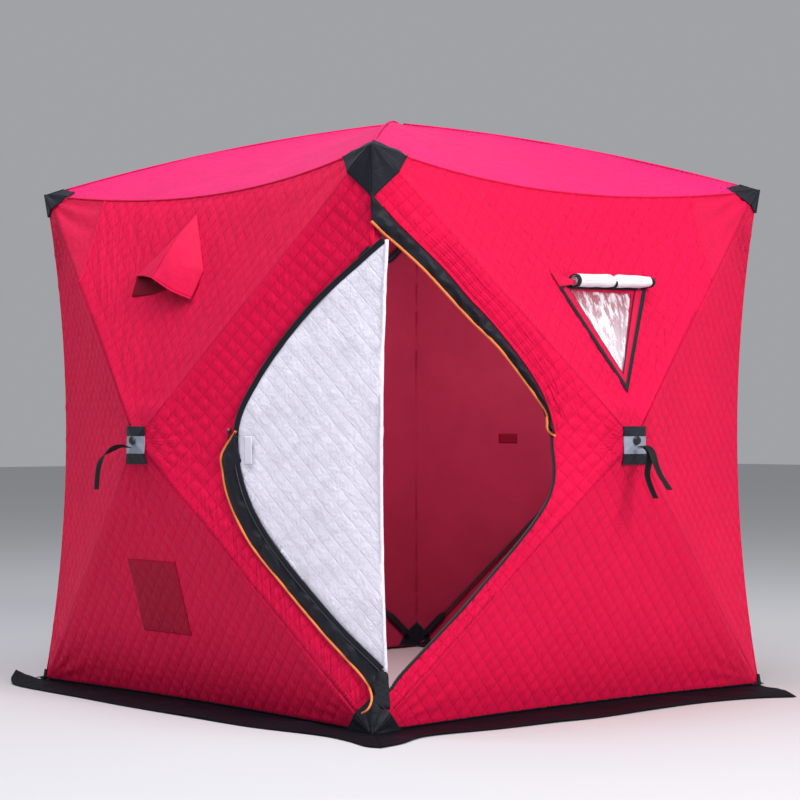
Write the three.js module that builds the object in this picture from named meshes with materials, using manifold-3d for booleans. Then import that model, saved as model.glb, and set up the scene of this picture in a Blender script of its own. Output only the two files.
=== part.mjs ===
// Pop-up hub ice fishing shelter: a cube of quilted fabric that five sprung
// hubs pull outwards, each hub with four flexible poles to the corners.
// Millimetres, +Z up. The origin is on the ice at the middle of the footprint,
// and the door corner is at (+X, -Y).
import * as THREE from 'three';
import { ConvexGeometry } from 'three/addons/geometries/ConvexGeometry.js';
import { mergeVertices } from 'three/addons/utils/BufferGeometryUtils.js';
import Module from 'manifold-3d';

const wasm = await Module();
wasm.setup();

// Driving dimensions
const HALF = 900; // half the footprint's side, at the corners
const CORNER_H = 1750; // height of the roof corners
const ROOF_RISE = 250; // the roof hub above the roof corners
const HUB_H = 870; // height of the wall hubs
const HUB_OUT = 230; // how far a wall hub stands out of the plane of its corners
const SIDE_PULL = 53; // how far the upright edges bow in, along each wall
const EAVE_PULL = 70; // how far the eaves bow down and in
const HEM_H = 6; // height of the wall hems above the ice at the corners
const HEM_LIFT = 20; // how far the hems bow up and in
const FABRIC = 4; // quilted fabric thickness
const COVER = 3; // thickness of flaps, patches and boots
const GAP = 0.5; // air between a cover and the fabric under it
const EDGE_STEPS = 8; // straight steps along each fabric edge
const REACH = 2500; // larger than the shelter, for cutting shapes
const PRISM_SPAN = [-300, 500]; // how far a cutting prism runs through a wall, in w
const CUT_BELOW = -100; // cutting shapes start this far below the ice
const CUT_GAP = 0.2; // half the gap at each mitre

// Poles and hubs
const POLE_INSET = 28; // pole axis inside the fabric, measured across the wall
const ROOF_INSET = 36; // the same under the roof
const POLE_R = 5.5;
const FERRULE_R = 8;
const FERRULE_LEN = 70;
const SLEEVE_R = 12;
const SLEEVE_LEN = 110;
const POLE_SIDES = 10;
const PIVOT_R = 30; // hinge of each pole, from the hub's axis
const PIVOT_BACK = 8; // ferrule end behind its hinge
const TIP_SETBACK = 90; // pole tips stop short of their corners, so that they can shift
const ROOF_TIP_SETBACK = 104; // clear of the wall poles' tips when all the hubs are in
const HUB_R = 38;
const HUB_THICK = 24;
const SLOT_WIDTH = 19;
const SLOT_START = 17;
const BOLT_R = 5;
const BUTTON_R = 15;
const BUTTON_RIM_R = 12; // the button narrows to this at its outer face
const BUTTON_THICK = 7;
const BUTTON_LIFT = 8; // button foot outside the fabric
const ROUND = 24; // sides of the round parts

// Patches and straps on the wall hubs
const HUB_HOLE_R = 80; // opening in the fabric that the patch passes through
const PATCH_WIDTH = 106;
const PATCH_HEIGHT = 117;
const PATCH_HOLE_R = 6.5;
const STRAP_WIDTH = 25;
const STRAP_THICK = 2.4;
const STRAP_STEPS = 14;
// Strap routes as [w, v]: one that stands out and droops, and one whose two
// tails hang
const STRAP_ROUTE = [
  [247, 845], [282, 850], [317, 842], [347, 823], [364, 795], [371, 759], [375, 715],
];
const TAIL_ROUTES = [
  [[247, 845], [275, 846], [291, 832], [287, 798], [281, 761], [296, 722], [316, 688]],
  [[247, 846], [276, 848], [297, 834], [314, 799], [333, 765], [353, 741], [374, 716]],
];

// Boots and skirts
const TOP_BOOT_SIDE = 150;
const TOP_BOOT_DOWN = 160;
const LOW_BOOT_SIDE = 110;
const LOW_BOOT_UP = 105;
const SKIRT_WIDTH = 180;
const SKIRT_THICK = 3;
const SKIRT_TURN = 45; // where the skirt meets the ice, out from the wall

// Door round the (+X, -Y) corner
const LEAF_AXIS = new THREE.Vector2(922, -880); // fold line of the open half
const LEAF_REST_DIR = THREE.MathUtils.degToRad(194.44); // way the folded half lies
const LEAF_THICK = 4;
const LEAF_FOLD_GAP = 4;
const DOOR_GAP = 1.5;
const PAST_CORNER = 60; // door outlines run past the corner, so that the cut is clean
const FLAP_SEAM = 8; // how far the right storm flap is sewn onto the wall

// Outlines of the door, as [distance from the door corner, height]
const LEFT_ZIP = [
  [0, 1500], [247, 1259], [455, 1058], [525, 890], [452, 640], [187, 353], [0, 215],
];
const LEFT_FLAP_FOOT = [[0, 118], [204, 290], [479, 562], [575, 720], [582, 819], [530, 862]];
const RIGHT_EDGE = [
  [0, 1600], [269, 1394], [550, 1095], [634, 860], [597, 680], [349, 404], [0, 100],
];
const RIGHT_FREE_EDGE = [
  [601, 912], [562, 1005], [447, 1152], [275, 1328], [62, 1486], [0, 1530],
];
// Outline of the folded half, as [distance from its fold line, height]
const LEAF_EDGE = [
  [0, 1466], [264, 1262], [483, 1058], [556, 880], [483, 640], [212, 353], [0, 190],
];

// Zip slider
const SLIDER_SIZE = new THREE.Vector3(9, 16, 6);
const PULL_SIZE = new THREE.Vector3(7, 32, 2);
const SLIDER_AT = new THREE.Vector2(360, 900); // in the wall's u and v
const SLIDER_LIFT = 12;

// Window, blind and vent
const WINDOW_MID = 30; // middle of the window along the wall
const WINDOW_TOP = 1352;
const WINDOW_FOOT = 1082;
const WINDOW_HALF = 146;
const PANE_THICK = 2;
const PANE_BACK = 1; // the pane's face behind the fabric's
const PANE_MARGIN = 1.2;
const BLIND_R = 16;
const BLIND_LEN = 385;
const BLIND_H = 1384;
const BLIND_LIFT = 32; // the rolled blind's axis off the wall
const VENT_PEAK = new THREE.Vector2(-40, 1612);
const VENT_LEFT = new THREE.Vector2(-262, 1420);
const VENT_RIGHT = new THREE.Vector2(100, 1350);
const VENT_LIP = new THREE.Vector2(-70, 1378);
const VENT_OUT = 75; // how far the hood's lip stands off the wall
const VENT_HOLE = 0.62; // size of the opening behind the hood, as a share of it
const PROP_R = 4;
const PROP_LEN = 58;
const PROP_ABOVE_LIP = 10;
const PROP_LIFT = 8; // the prop's foot off the fabric
const PROP_SIDES = 12;

const shelter = new THREE.Group();

// Materials

function material(color, roughness, metalness = 0) {
  return new THREE.MeshStandardMaterial({ color, roughness, metalness });
}

const RED_FABRIC = 0xd01a48;
const ROOF_FABRIC = 0xd8306c;
const BLACK_FABRIC = 0x1b1e26;
const LINING = 0xd8d2e6;
const FIBREGLASS = 0x20232a;
const PLASTIC = 0x14161a;
const ZIP_METAL = 0xb8bcc4;
const PULL_TAB = 0xc8ccd4;
const CLEAR_VINYL = 0xe8eef4;

function addPart(name, geometry, look, parent = shelter) {
  const mesh = new THREE.Mesh(geometry, look);
  mesh.name = name;
  parent.add(mesh);
  return mesh;
}

// Solids: three.js geometry in, boolean result out

function toSolid(geometry, matrix) {
  const plain = geometry.clone();
  plain.deleteAttribute('normal');
  plain.deleteAttribute('uv');
  if (matrix) {
    plain.applyMatrix4(matrix);
  }
  const merged = mergeVertices(plain, 1e-4);
  const triVerts = new Uint32Array(merged.index.array);
  const vertProperties = new Float32Array(merged.attributes.position.array);
  return new wasm.Manifold(new wasm.Mesh({ numProp: 3, vertProperties, triVerts }));
}

function toGeometry(solid) {
  const mesh = solid.getMesh();
  const geometry = new THREE.BufferGeometry();
  geometry.setAttribute('position', new THREE.BufferAttribute(mesh.vertProperties, 3));
  geometry.setIndex(new THREE.BufferAttribute(mesh.triVerts, 1));
  geometry.computeVertexNormals();
  return geometry;
}

function hull(points) {
  return toSolid(new ConvexGeometry(points));
}

function polyhedron(triangles) {
  const geometry = new THREE.BufferGeometry();
  geometry.setFromPoints(triangles.flat());
  return toSolid(geometry);
}

// Wall frame: u runs right along the wall as seen from outside, v runs up and
// w runs out. Wall 0 faces -Y, and each next wall is a quarter turn on.

const WALLS = ['front_left', 'front_right', 'back_right', 'back_left'];
const QUARTER_COS = [1, 0, -1, 0];
const QUARTER_SIN = [0, 1, 0, -1];

function wallPoint(wall, u, v, w) {
  const x = u;
  const y = -(HALF + w);
  const cos = QUARTER_COS[wall];
  const sin = QUARTER_SIN[wall];
  return new THREE.Vector3(cos * x - sin * y, sin * x + cos * y, v);
}

function wallMatrix(wall) {
  const origin = wallPoint(wall, 0, 0, 0);
  const right = wallPoint(wall, 1, 0, 0).sub(origin);
  const up = new THREE.Vector3(0, 0, 1);
  const out = wallPoint(wall, 0, 0, 1).sub(origin);
  return new THREE.Matrix4().makeBasis(right, up, out).setPosition(origin);
}

// The four bowed edges of a wall, each as [u, v, w], for a wall that stands
// `off` outside the true surface

function sideEdge(v, off) {
  const t = (v - HEM_H) / (CORNER_H - HEM_H);
  const bow = SIDE_PULL * 4 * t * (1 - t);
  return [HALF + off - bow, v, off - bow];
}

function edgeShare(u) {
  return 1 - (u / HALF) ** 2;
}

function eaveEdge(u, off) {
  const bow = EAVE_PULL * edgeShare(u);
  return [u * (1 + off / HALF), CORNER_H + off - bow, off - bow];
}

function hemEdge(u, off) {
  const bow = HEM_LIFT * edgeShare(u);
  return [u * (1 + off / HALF), HEM_H + bow, off - bow];
}

function steps(from, to, count = EDGE_STEPS) {
  return Array.from({ length: count + 1 }, (_, i) => from + ((to - from) * i) / count);
}

function wallEdges(wall, off) {
  const at = ([u, v, w]) => wallPoint(wall, u, v, w);
  const sides = steps(HEM_H, CORNER_H);
  const widths = steps(-HALF, HALF);
  const top = CORNER_H + off;
  const stretch = (v) => (v === CORNER_H ? top : v);
  const right = sides.map((v) => sideEdge(v, off)).map(([u, v, w]) => at([u, stretch(v), w]));
  const left = sides.map((v) => sideEdge(v, off)).map(([u, v, w]) => at([-u, stretch(v), w]));
  const hem = widths.map((u) => at(hemEdge(u, off)));
  const eave = widths.map((u) => at(eaveEdge(u, off)));
  return { right, left, hem, eave };
}

// The whole outer surface as one closed solid, `off` outside the true surface.
// With `open` it runs on below the hems, to hollow out a skin with no floor.
function envelope(off, open = false) {
  const triangles = [];
  const apex = new THREE.Vector3(0, 0, CORNER_H + off + ROOF_RISE);
  const below = open ? CUT_BELOW : HEM_H;
  const centre = new THREE.Vector3(0, 0, below);
  const fan = (edge, tip) => {
    for (let i = 0; i + 1 < edge.length; i += 1) {
      triangles.push([edge[i], edge[i + 1], tip]);
    }
  };
  for (let wall = 0; wall < 4; wall += 1) {
    const { right, left, hem, eave } = wallEdges(wall, off);
    const hub = wallPoint(wall, 0, HUB_H, off + HUB_OUT);
    fan(hem, hub);
    fan(right, hub);
    fan([...eave].reverse(), hub);
    fan([...left].reverse(), hub);
    fan(eave, apex);
    if (!open) {
      fan([...hem].reverse(), centre);
      continue;
    }
    const foot = hem.map((p) => new THREE.Vector3(p.x, p.y, below));
    for (let i = 0; i + 1 < hem.length; i += 1) {
      triangles.push([foot[i], foot[i + 1], hem[i + 1]]);
      triangles.push([foot[i], hem[i + 1], hem[i]]);
    }
    fan([...foot].reverse(), centre);
  }
  return polyhedron(triangles);
}

const SURFACE = envelope(0);
const SKIN = SURFACE.subtract(envelope(-FABRIC, true));

function cover(gap, thick) {
  return envelope(gap + thick).subtract(envelope(gap, true));
}

const COVER_SKIN = cover(GAP, COVER);

// A prism through a wall, from an outline in its u and v
function wallPrism(wall, shape) {
  const [from, to] = PRISM_SPAN;
  const geometry = new THREE.ExtrudeGeometry(shape, {
    depth: to - from,
    bevelEnabled: false,
    curveSegments: 24,
  });
  const place = wallMatrix(wall).multiply(new THREE.Matrix4().makeTranslation(0, 0, from));
  return toSolid(geometry, place);
}

function polygon(points) {
  return new THREE.Shape(points.map(([u, v]) => new THREE.Vector2(u, v)));
}

function splineThrough(points) {
  return new THREE.SplineCurve(points.map(([u, v]) => new THREE.Vector2(u, v)));
}

function outline(curvePoints, rest = []) {
  const smooth = splineThrough(curvePoints).getPoints(20);
  return new THREE.Shape([...smooth, ...rest.map(([u, v]) => new THREE.Vector2(u, v))]);
}

// Where the wall's outer surface stands at (u, v)
function surfaceOut(u, v) {
  const across = Math.abs(u);
  const up = v - HUB_H;
  const rim = steps(0, 1, 200).map((t) => {
    const side = sideEdge(HEM_H + t * (CORNER_H - HEM_H), 0);
    const eave = eaveEdge(t * HALF, 0);
    const hem = hemEdge(t * HALF, 0);
    return [side, eave, hem];
  });
  let best = { miss: Infinity, out: 0 };
  for (const point of rim.flat()) {
    const along = point[0] * across + (point[1] - HUB_H) * up;
    if (along > 0) {
      const length2 = point[0] ** 2 + (point[1] - HUB_H) ** 2;
      const share = along / length2;
      const miss = Math.abs(point[0] * up - (point[1] - HUB_H) * across) / Math.sqrt(length2);
      if (miss < best.miss) {
        best = { miss, out: HUB_OUT * (1 - share) + point[2] * share };
      }
    }
  }
  return best.out;
}

// A point `lift` outside the wall's surface
function onWall(wall, point, lift) {
  return wallPoint(wall, point.x, point.y, surfaceOut(point.x, point.y) + lift);
}

// The door's outlines on each wall

const onLeftWall = ([a, v]) => [HALF - a, v];
const onRightWall = ([a, v]) => [a - HALF, v];

function doorShape(edge, onWall) {
  const pastFoot = onWall([-PAST_CORNER, edge.at(-1)[1]]);
  const pastTop = onWall([-PAST_CORNER, edge[0][1]]);
  return outline(edge.map(onWall), [pastFoot, pastTop]);
}

function leftZipShape(inset = 0) {
  return doorShape(LEFT_ZIP.map(([a, v]) => [a - inset, v]), onLeftWall);
}

// Walls and roof, mitred along the planes that hold their bowed edges

function wallWedge(wall, gap = CUT_GAP) {
  const at = (u, v, out) => wallPoint(wall, u, v, out - HALF);
  return hull([
    at(0, 2 * CUT_BELOW, gap),
    at(0, CORNER_H - HALF, gap),
    at(-REACH, 2 * CUT_BELOW, REACH + gap),
    at(REACH, 2 * CUT_BELOW, REACH + gap),
    at(-REACH, CORNER_H - HALF + REACH, REACH + gap),
    at(REACH, CORNER_H - HALF + REACH, REACH + gap),
  ]);
}

function roofWedge(gap = CUT_GAP) {
  const foot = CORNER_H - HALF + gap;
  const rim = [[-1, -1], [1, -1], [1, 1], [-1, 1]];
  return hull([
    new THREE.Vector3(0, 0, foot),
    ...rim.map(([x, y]) => new THREE.Vector3(x * REACH, y * REACH, foot + REACH)),
  ]);
}

function circleShape(u, v, radius) {
  const shape = new THREE.Shape();
  shape.absarc(u, v, radius, 0, 2 * Math.PI);
  return shape;
}

// The window's triangle, smaller by about `margin` all round
function windowShape(margin = 0) {
  const half = WINDOW_HALF - 2 * margin;
  const top = WINDOW_TOP - margin;
  return polygon([
    [WINDOW_MID - half, top],
    [WINDOW_MID, WINDOW_FOOT + 2 * margin],
    [WINDOW_MID + half, top],
  ]);
}

function ventShape(scale) {
  const corners = [VENT_PEAK, VENT_LEFT, VENT_LIP, VENT_RIGHT];
  const mid = new THREE.Vector2();
  corners.forEach((corner) => mid.addScaledVector(corner, 1 / corners.length));
  const scaled = corners.map((corner) => corner.clone().sub(mid).multiplyScalar(scale).add(mid));
  return new THREE.Shape(scaled);
}

function buildWall(wall) {
  const hubHole = wallPrism(wall, circleShape(0, HUB_H, HUB_HOLE_R));
  let solid = SKIN.intersect(wallWedge(wall)).subtract(hubHole);
  if (WALLS[wall] === 'front_left') {
    solid = solid.subtract(wallPrism(wall, leftZipShape()));
    solid = solid.subtract(wallPrism(wall, ventShape(VENT_HOLE)));
  }
  if (WALLS[wall] === 'front_right') {
    solid = solid.subtract(wallPrism(wall, doorShape(RIGHT_EDGE, onRightWall)));
    solid = solid.subtract(wallPrism(wall, windowShape()));
  }
  addPart(`wall_${WALLS[wall]}`, toGeometry(solid), material(RED_FABRIC, 0.75));
}

function buildRoof() {
  addPart('roof_canopy', toGeometry(SKIN.intersect(roofWedge())), material(ROOF_FABRIC, 0.7));
}

// Corner boots: the part of the cover near a corner, cut off by a slanting
// plane that reaches `side` along each wall and `rise` along the corner edge

const CORNERS = ['door', 'right', 'back', 'left'];
const CORNER_X = [1, 1, -1, -1];
const CORNER_Y = [-1, 1, 1, -1];

function cornerCut(corner, height, side, rise, margin = 100) {
  const sx = CORNER_X[corner];
  const sy = CORNER_Y[corner];
  const sz = Math.sign(rise);
  const grow = 1 + (2 * margin) / side + margin / Math.abs(rise);
  const tip = new THREE.Vector3(sx * (HALF + margin), sy * (HALF + margin), height - sz * margin);
  return hull([
    tip,
    tip.clone().add(new THREE.Vector3(-sx * side * grow, 0, 0)),
    tip.clone().add(new THREE.Vector3(0, -sy * side * grow, 0)),
    tip.clone().add(new THREE.Vector3(0, 0, rise * grow)),
  ]);
}

function buildBoots() {
  CORNERS.forEach((name, corner) => {
    const top = COVER_SKIN.intersect(cornerCut(corner, CORNER_H, TOP_BOOT_SIDE, -TOP_BOOT_DOWN));
    addPart(`top_boot_${name}`, toGeometry(top), material(BLACK_FABRIC, 0.6));
    const low = COVER_SKIN.intersect(cornerCut(corner, HEM_H, LOW_BOOT_SIDE, LOW_BOOT_UP));
    addPart(`bottom_boot_${name}`, toGeometry(low), material(BLACK_FABRIC, 0.6));
  });
}

// Snow skirts: from just under each hem down to the ice and out over it

function buildSkirt(wall) {
  const rows = steps(-HALF, HALF).map((u) => {
    const lift = HEM_LIFT * edgeShare(u);
    const reach = (w) => (u * (HALF + w - GAP)) / HALF;
    const profile = [
      [GAP - lift, SKIRT_THICK + 0.5 + lift],
      [SKIRT_TURN, SKIRT_THICK],
      [SKIRT_WIDTH, SKIRT_THICK],
      [SKIRT_WIDTH, 0],
      [SKIRT_TURN, 0],
      [GAP - lift, 0.5 + lift],
    ];
    return profile.map(([w, v]) => wallPoint(wall, reach(w), v, w));
  });
  const triangles = [];
  const sides = rows[0].length;
  for (let i = 0; i + 1 < rows.length; i += 1) {
    for (let j = 0; j < sides; j += 1) {
      const next = (j + 1) % sides;
      triangles.push([rows[i][j], rows[i][next], rows[i + 1][next]]);
      triangles.push([rows[i][j], rows[i + 1][next], rows[i + 1][j]]);
    }
  }
  const cap = (row, flip) => {
    const ends = [[0, 1, 4], [0, 4, 5], [1, 2, 3], [1, 3, 4]];
    ends.forEach(([a, b, c]) => {
      triangles.push(flip ? [row[a], row[b], row[c]] : [row[a], row[c], row[b]]);
    });
  };
  cap(rows[0], false);
  cap(rows.at(-1), true);
  const skirt = polyhedron(triangles);
  addPart(`snow_skirt_${WALLS[wall]}`, toGeometry(skirt), material(BLACK_FABRIC, 0.65));
}

// Hubs and poles. A hub frame has its origin on the pivot plane, z outwards.

function hubSolid(poleAngles, withButton) {
  const block = new THREE.CylinderGeometry(HUB_R, HUB_R, HUB_THICK, ROUND);
  block.rotateX(Math.PI / 2);
  let solid = toSolid(block);
  const slotLength = HUB_R - SLOT_START + 5;
  for (const angle of poleAngles) {
    const slot = new THREE.BoxGeometry(slotLength, SLOT_WIDTH, HUB_THICK + 10);
    slot.translate(SLOT_START + slotLength / 2, 0, 0);
    slot.rotateZ(angle);
    solid = solid.subtract(toSolid(slot));
  }
  if (withButton) {
    const buttonFoot = POLE_INSET + BUTTON_LIFT;
    const bolt = new THREE.CylinderGeometry(BOLT_R, BOLT_R, buttonFoot + 2, ROUND);
    bolt.rotateX(Math.PI / 2);
    bolt.translate(0, 0, (buttonFoot + 2) / 2);
    const button = new THREE.CylinderGeometry(BUTTON_RIM_R, BUTTON_R, BUTTON_THICK, ROUND);
    button.rotateX(Math.PI / 2);
    button.translate(0, 0, buttonFoot + BUTTON_THICK / 2);
    solid = solid.add(toSolid(bolt)).add(toSolid(button));
  }
  return solid;
}

// One pole from its hinge, along +Y: ferrule, rod and end sleeve
function poleGeometry(length) {
  const profile = [
    [0, -PIVOT_BACK],
    [FERRULE_R, -PIVOT_BACK],
    [FERRULE_R, FERRULE_LEN],
    [POLE_R, FERRULE_LEN],
    [POLE_R, length - SLEEVE_LEN],
    [SLEEVE_R, length - SLEEVE_LEN],
    [SLEEVE_R, length],
    [0, length],
  ];
  return new THREE.LatheGeometry(profile.map(([r, y]) => new THREE.Vector2(r, y)), POLE_SIDES);
}

function buildHub({ name, place, corners, rise, setback, withButton }) {
  const frame = new THREE.Group();
  frame.applyMatrix4(place);
  shelter.add(frame);
  const angles = corners.map(({ at }) => Math.atan2(at.y, at.x));
  addPart(`hub_${name}`, toGeometry(hubSolid(angles, withButton)), material(PLASTIC, 0.4), frame);
  corners.forEach(({ label, at }, i) => {
    const reach = at.length() - PIVOT_R;
    const length = Math.hypot(reach, rise) - setback;
    const look = material(FIBREGLASS, 0.35);
    const pole = addPart(`pole_${name}_${label}`, poleGeometry(length), look, frame);
    pole.rotation.set(Math.atan2(-rise, reach), 0, angles[i] - Math.PI / 2, 'ZYX');
    pole.position.set(PIVOT_R * Math.cos(angles[i]), PIVOT_R * Math.sin(angles[i]), 0);
  });
}

function buildHubs() {
  const wallCorners = [
    { label: 'top_left', at: new THREE.Vector2(-HALF, CORNER_H - HUB_H) },
    { label: 'top_right', at: new THREE.Vector2(HALF, CORNER_H - HUB_H) },
    { label: 'bottom_left', at: new THREE.Vector2(-HALF, -HUB_H) },
    { label: 'bottom_right', at: new THREE.Vector2(HALF, -HUB_H) },
  ];
  WALLS.forEach((name, wall) => {
    const origin = wallPoint(wall, 0, HUB_H, HUB_OUT - POLE_INSET);
    buildHub({
      name,
      place: wallMatrix(wall).setPosition(origin),
      corners: wallCorners,
      rise: HUB_OUT,
      setback: TIP_SETBACK,
      withButton: true,
    });
  });
  const roofCorners = CORNERS.map((label, corner) => ({
    label,
    at: new THREE.Vector2(CORNER_X[corner] * HALF, CORNER_Y[corner] * HALF),
  }));
  buildHub({
    name: 'roof',
    place: new THREE.Matrix4().makeTranslation(0, 0, CORNER_H + ROOF_RISE - ROOF_INSET),
    corners: roofCorners,
    rise: ROOF_RISE,
    setback: ROOF_TIP_SETBACK,
    withButton: false,
  });
}

function buildHubPatch(wall) {
  const top = HUB_H + PATCH_HEIGHT / 2;
  const foot = HUB_H - PATCH_HEIGHT / 2;
  const side = PATCH_WIDTH / 2;
  const shape = polygon([[-side, foot], [side, foot], [side, top], [-side, top]]);
  const boltHole = wallPrism(wall, circleShape(0, HUB_H, PATCH_HOLE_R));
  const patch = COVER_SKIN.intersect(wallPrism(wall, shape)).subtract(boltHole);
  addPart(`hub_patch_${WALLS[wall]}`, toGeometry(patch), material(BLACK_FABRIC, 0.7));
}

// Pull straps: webbing that starts under the button

function strapSolid(wall, route) {
  const line = splineThrough(route);
  const upper = [];
  const lower = [];
  steps(0, 1, STRAP_STEPS).forEach((t) => {
    const middle = line.getPoint(t);
    const tangent = line.getTangent(t);
    const across = new THREE.Vector2(-tangent.y, tangent.x).multiplyScalar(STRAP_THICK / 2);
    upper.push(middle.clone().add(across));
    lower.push(middle.clone().sub(across));
  });
  const geometry = new THREE.ExtrudeGeometry(new THREE.Shape([...lower, ...upper.reverse()]), {
    depth: STRAP_WIDTH,
    bevelEnabled: false,
  });
  // the outline lies in w and v, and its depth runs backwards along u
  const out = wallPoint(wall, 0, 0, 1).sub(wallPoint(wall, 0, 0, 0));
  const up = new THREE.Vector3(0, 0, 1);
  const side = new THREE.Vector3().crossVectors(out, up);
  const origin = wallPoint(wall, STRAP_WIDTH / 2, 0, 0);
  return toSolid(geometry, new THREE.Matrix4().makeBasis(out, up, side).setPosition(origin));
}

function buildPullStrap(wall) {
  const routes = WALLS[wall] === 'front_right' ? TAIL_ROUTES : [STRAP_ROUTE];
  const strap = routes.map((route) => strapSolid(wall, route)).reduce((all, one) => all.add(one));
  addPart(`pull_strap_${WALLS[wall]}`, toGeometry(strap), material(BLACK_FABRIC, 0.8));
}

// The door, its storm flaps and its zip slider

function buildDoor() {
  const fixed = SKIN.intersect(wallWedge(0)).intersect(wallPrism(0, leftZipShape(DOOR_GAP)));
  addPart('door_fixed_half', toGeometry(fixed), material(RED_FABRIC, 0.75));

  const leafPoints = LEAF_EDGE.map(([a, v]) => [Math.max(a, LEAF_FOLD_GAP), v]);
  const leaf = new THREE.ExtrudeGeometry(outline(leafPoints), {
    depth: LEAF_THICK,
    bevelEnabled: false,
  });
  const along = new THREE.Vector3(Math.cos(LEAF_REST_DIR), Math.sin(LEAF_REST_DIR), 0);
  const up = new THREE.Vector3(0, 0, 1);
  const across = new THREE.Vector3().crossVectors(along, up);
  const fold = new THREE.Vector3(LEAF_AXIS.x, LEAF_AXIS.y, 0);
  const origin = fold.addScaledVector(across, -LEAF_THICK / 2);
  const place = new THREE.Matrix4().makeBasis(along, up, across).setPosition(origin);
  addPart('door_leaf', toGeometry(toSolid(leaf, place)), material(LINING, 0.7));
}

// The left flap covers the lower half of the left zip, and the right flap is
// sewn along the upper half of the right edge
function buildStormFlaps() {
  const leftInner = splineThrough(LEFT_ZIP.slice(2).map(onLeftWall)).getPoints(16);
  const lowerHalf = leftInner.slice(9);
  const leftOuter = splineThrough(LEFT_FLAP_FOOT.map(onLeftWall)).getPoints(16);
  const leftShape = wallPrism(0, new THREE.Shape([...lowerHalf, ...leftOuter]));
  const left = COVER_SKIN.intersect(wallWedge(0, 1)).intersect(leftShape);
  addPart('storm_flap_left', toGeometry(left), material(BLACK_FABRIC, 0.6));

  const seam = RIGHT_EDGE.slice(0, 4).map(([a, v]) => onRightWall([a + FLAP_SEAM, v + FLAP_SEAM]));
  const rightOuter = splineThrough(seam).getPoints(16);
  const rightInner = splineThrough(RIGHT_FREE_EDGE.map(onRightWall)).getPoints(16);
  const right = COVER_SKIN.intersect(wallWedge(1, 1))
    .intersect(wallPrism(1, new THREE.Shape([...rightOuter, ...rightInner])))
    .subtract(cornerCut(0, CORNER_H, TOP_BOOT_SIDE + 2, -TOP_BOOT_DOWN - 2));
  addPart('storm_flap_right', toGeometry(right), material(BLACK_FABRIC, 0.6));
}

// The slider hangs on the leaf's edge of the left zip, above the flap
function buildZipSlider() {
  const frame = new THREE.Group();
  frame.applyMatrix4(wallMatrix(0).setPosition(onWall(0, SLIDER_AT, SLIDER_LIFT)));
  shelter.add(frame);
  const body = new THREE.BoxGeometry(SLIDER_SIZE.x, SLIDER_SIZE.y, SLIDER_SIZE.z);
  addPart('zip_slider', toGeometry(toSolid(body)), material(ZIP_METAL, 0.35, 0.9), frame);
  const pull = new THREE.BoxGeometry(PULL_SIZE.x, PULL_SIZE.y, PULL_SIZE.z);
  const pullDrop = (PULL_SIZE.z - PULL_SIZE.y) / 2;
  pull.translate(0, pullDrop, (SLIDER_SIZE.z + PULL_SIZE.z) / 2 + GAP);
  addPart('zip_pull', toGeometry(toSolid(pull)), material(PULL_TAB, 0.5), frame);
}

// Window with its rolled-up blind, in the wall beside the door

function buildWindow() {
  const wall = 1;
  const behind = cover(-PANE_BACK - PANE_THICK, PANE_THICK);
  const pane = behind.intersect(wallPrism(wall, windowShape(PANE_MARGIN)));
  addPart('window_pane', toGeometry(pane), material(CLEAR_VINYL, 0.1));

  const roll = new THREE.CylinderGeometry(BLIND_R, BLIND_R, BLIND_LEN, ROUND);
  roll.rotateZ(Math.PI / 2);
  const middle = onWall(wall, new THREE.Vector2(WINDOW_MID, BLIND_H), BLIND_LIFT);
  const place = wallMatrix(wall).setPosition(middle);
  addPart('window_blind', toGeometry(toSolid(roll, place)), material(LINING, 0.7));
}

// Vent hood with its prop, near the top of the other front wall

function buildVent() {
  const wall = 0;
  const corners = [
    [VENT_PEAK, GAP],
    [VENT_LEFT, GAP],
    [VENT_LIP, VENT_OUT],
    [VENT_RIGHT, GAP],
  ];
  const inner = corners.map(([point, lift]) => onWall(wall, point, lift));
  const outer = corners.map(([point, lift]) => onWall(wall, point, lift + COVER));
  const faces = [[0, 1, 2], [0, 2, 3]];
  const rim = [[0, 1], [1, 2], [2, 3], [3, 0]];
  const triangles = [];
  faces.forEach(([a, b, c]) => {
    triangles.push([outer[a], outer[b], outer[c]]);
    triangles.push([inner[a], inner[c], inner[b]]);
  });
  rim.forEach(([a, b]) => {
    triangles.push([inner[a], inner[b], outer[b]]);
    triangles.push([inner[a], outer[b], outer[a]]);
  });
  const hood = polyhedron(triangles).subtract(envelope(GAP));
  addPart('vent_hood', toGeometry(hood), material(RED_FABRIC, 0.75));

  // the prop stands on the wall under the lip
  const prop = new THREE.CylinderGeometry(PROP_R, PROP_R, PROP_LEN, PROP_SIDES);
  prop.rotateX(Math.PI / 2);
  prop.translate(0, 0, PROP_LEN / 2);
  const foot = VENT_LIP.clone().add(new THREE.Vector2(0, PROP_ABOVE_LIP));
  const place = wallMatrix(wall).setPosition(onWall(wall, foot, PROP_LIFT));
  addPart('vent_prop', toGeometry(toSolid(prop, place)), material(PLASTIC, 0.5));
}

WALLS.forEach((_, wall) => {
  buildWall(wall);
  buildSkirt(wall);
  buildHubPatch(wall);
  buildPullStrap(wall);
});
buildRoof();
buildBoots();
buildHubs();
buildDoor();
buildStormFlaps();
buildZipSlider();
buildWindow();
buildVent();

export default shelter;
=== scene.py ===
import math

import bpy
import numpy as np
from mathutils import Matrix, Vector


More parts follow.
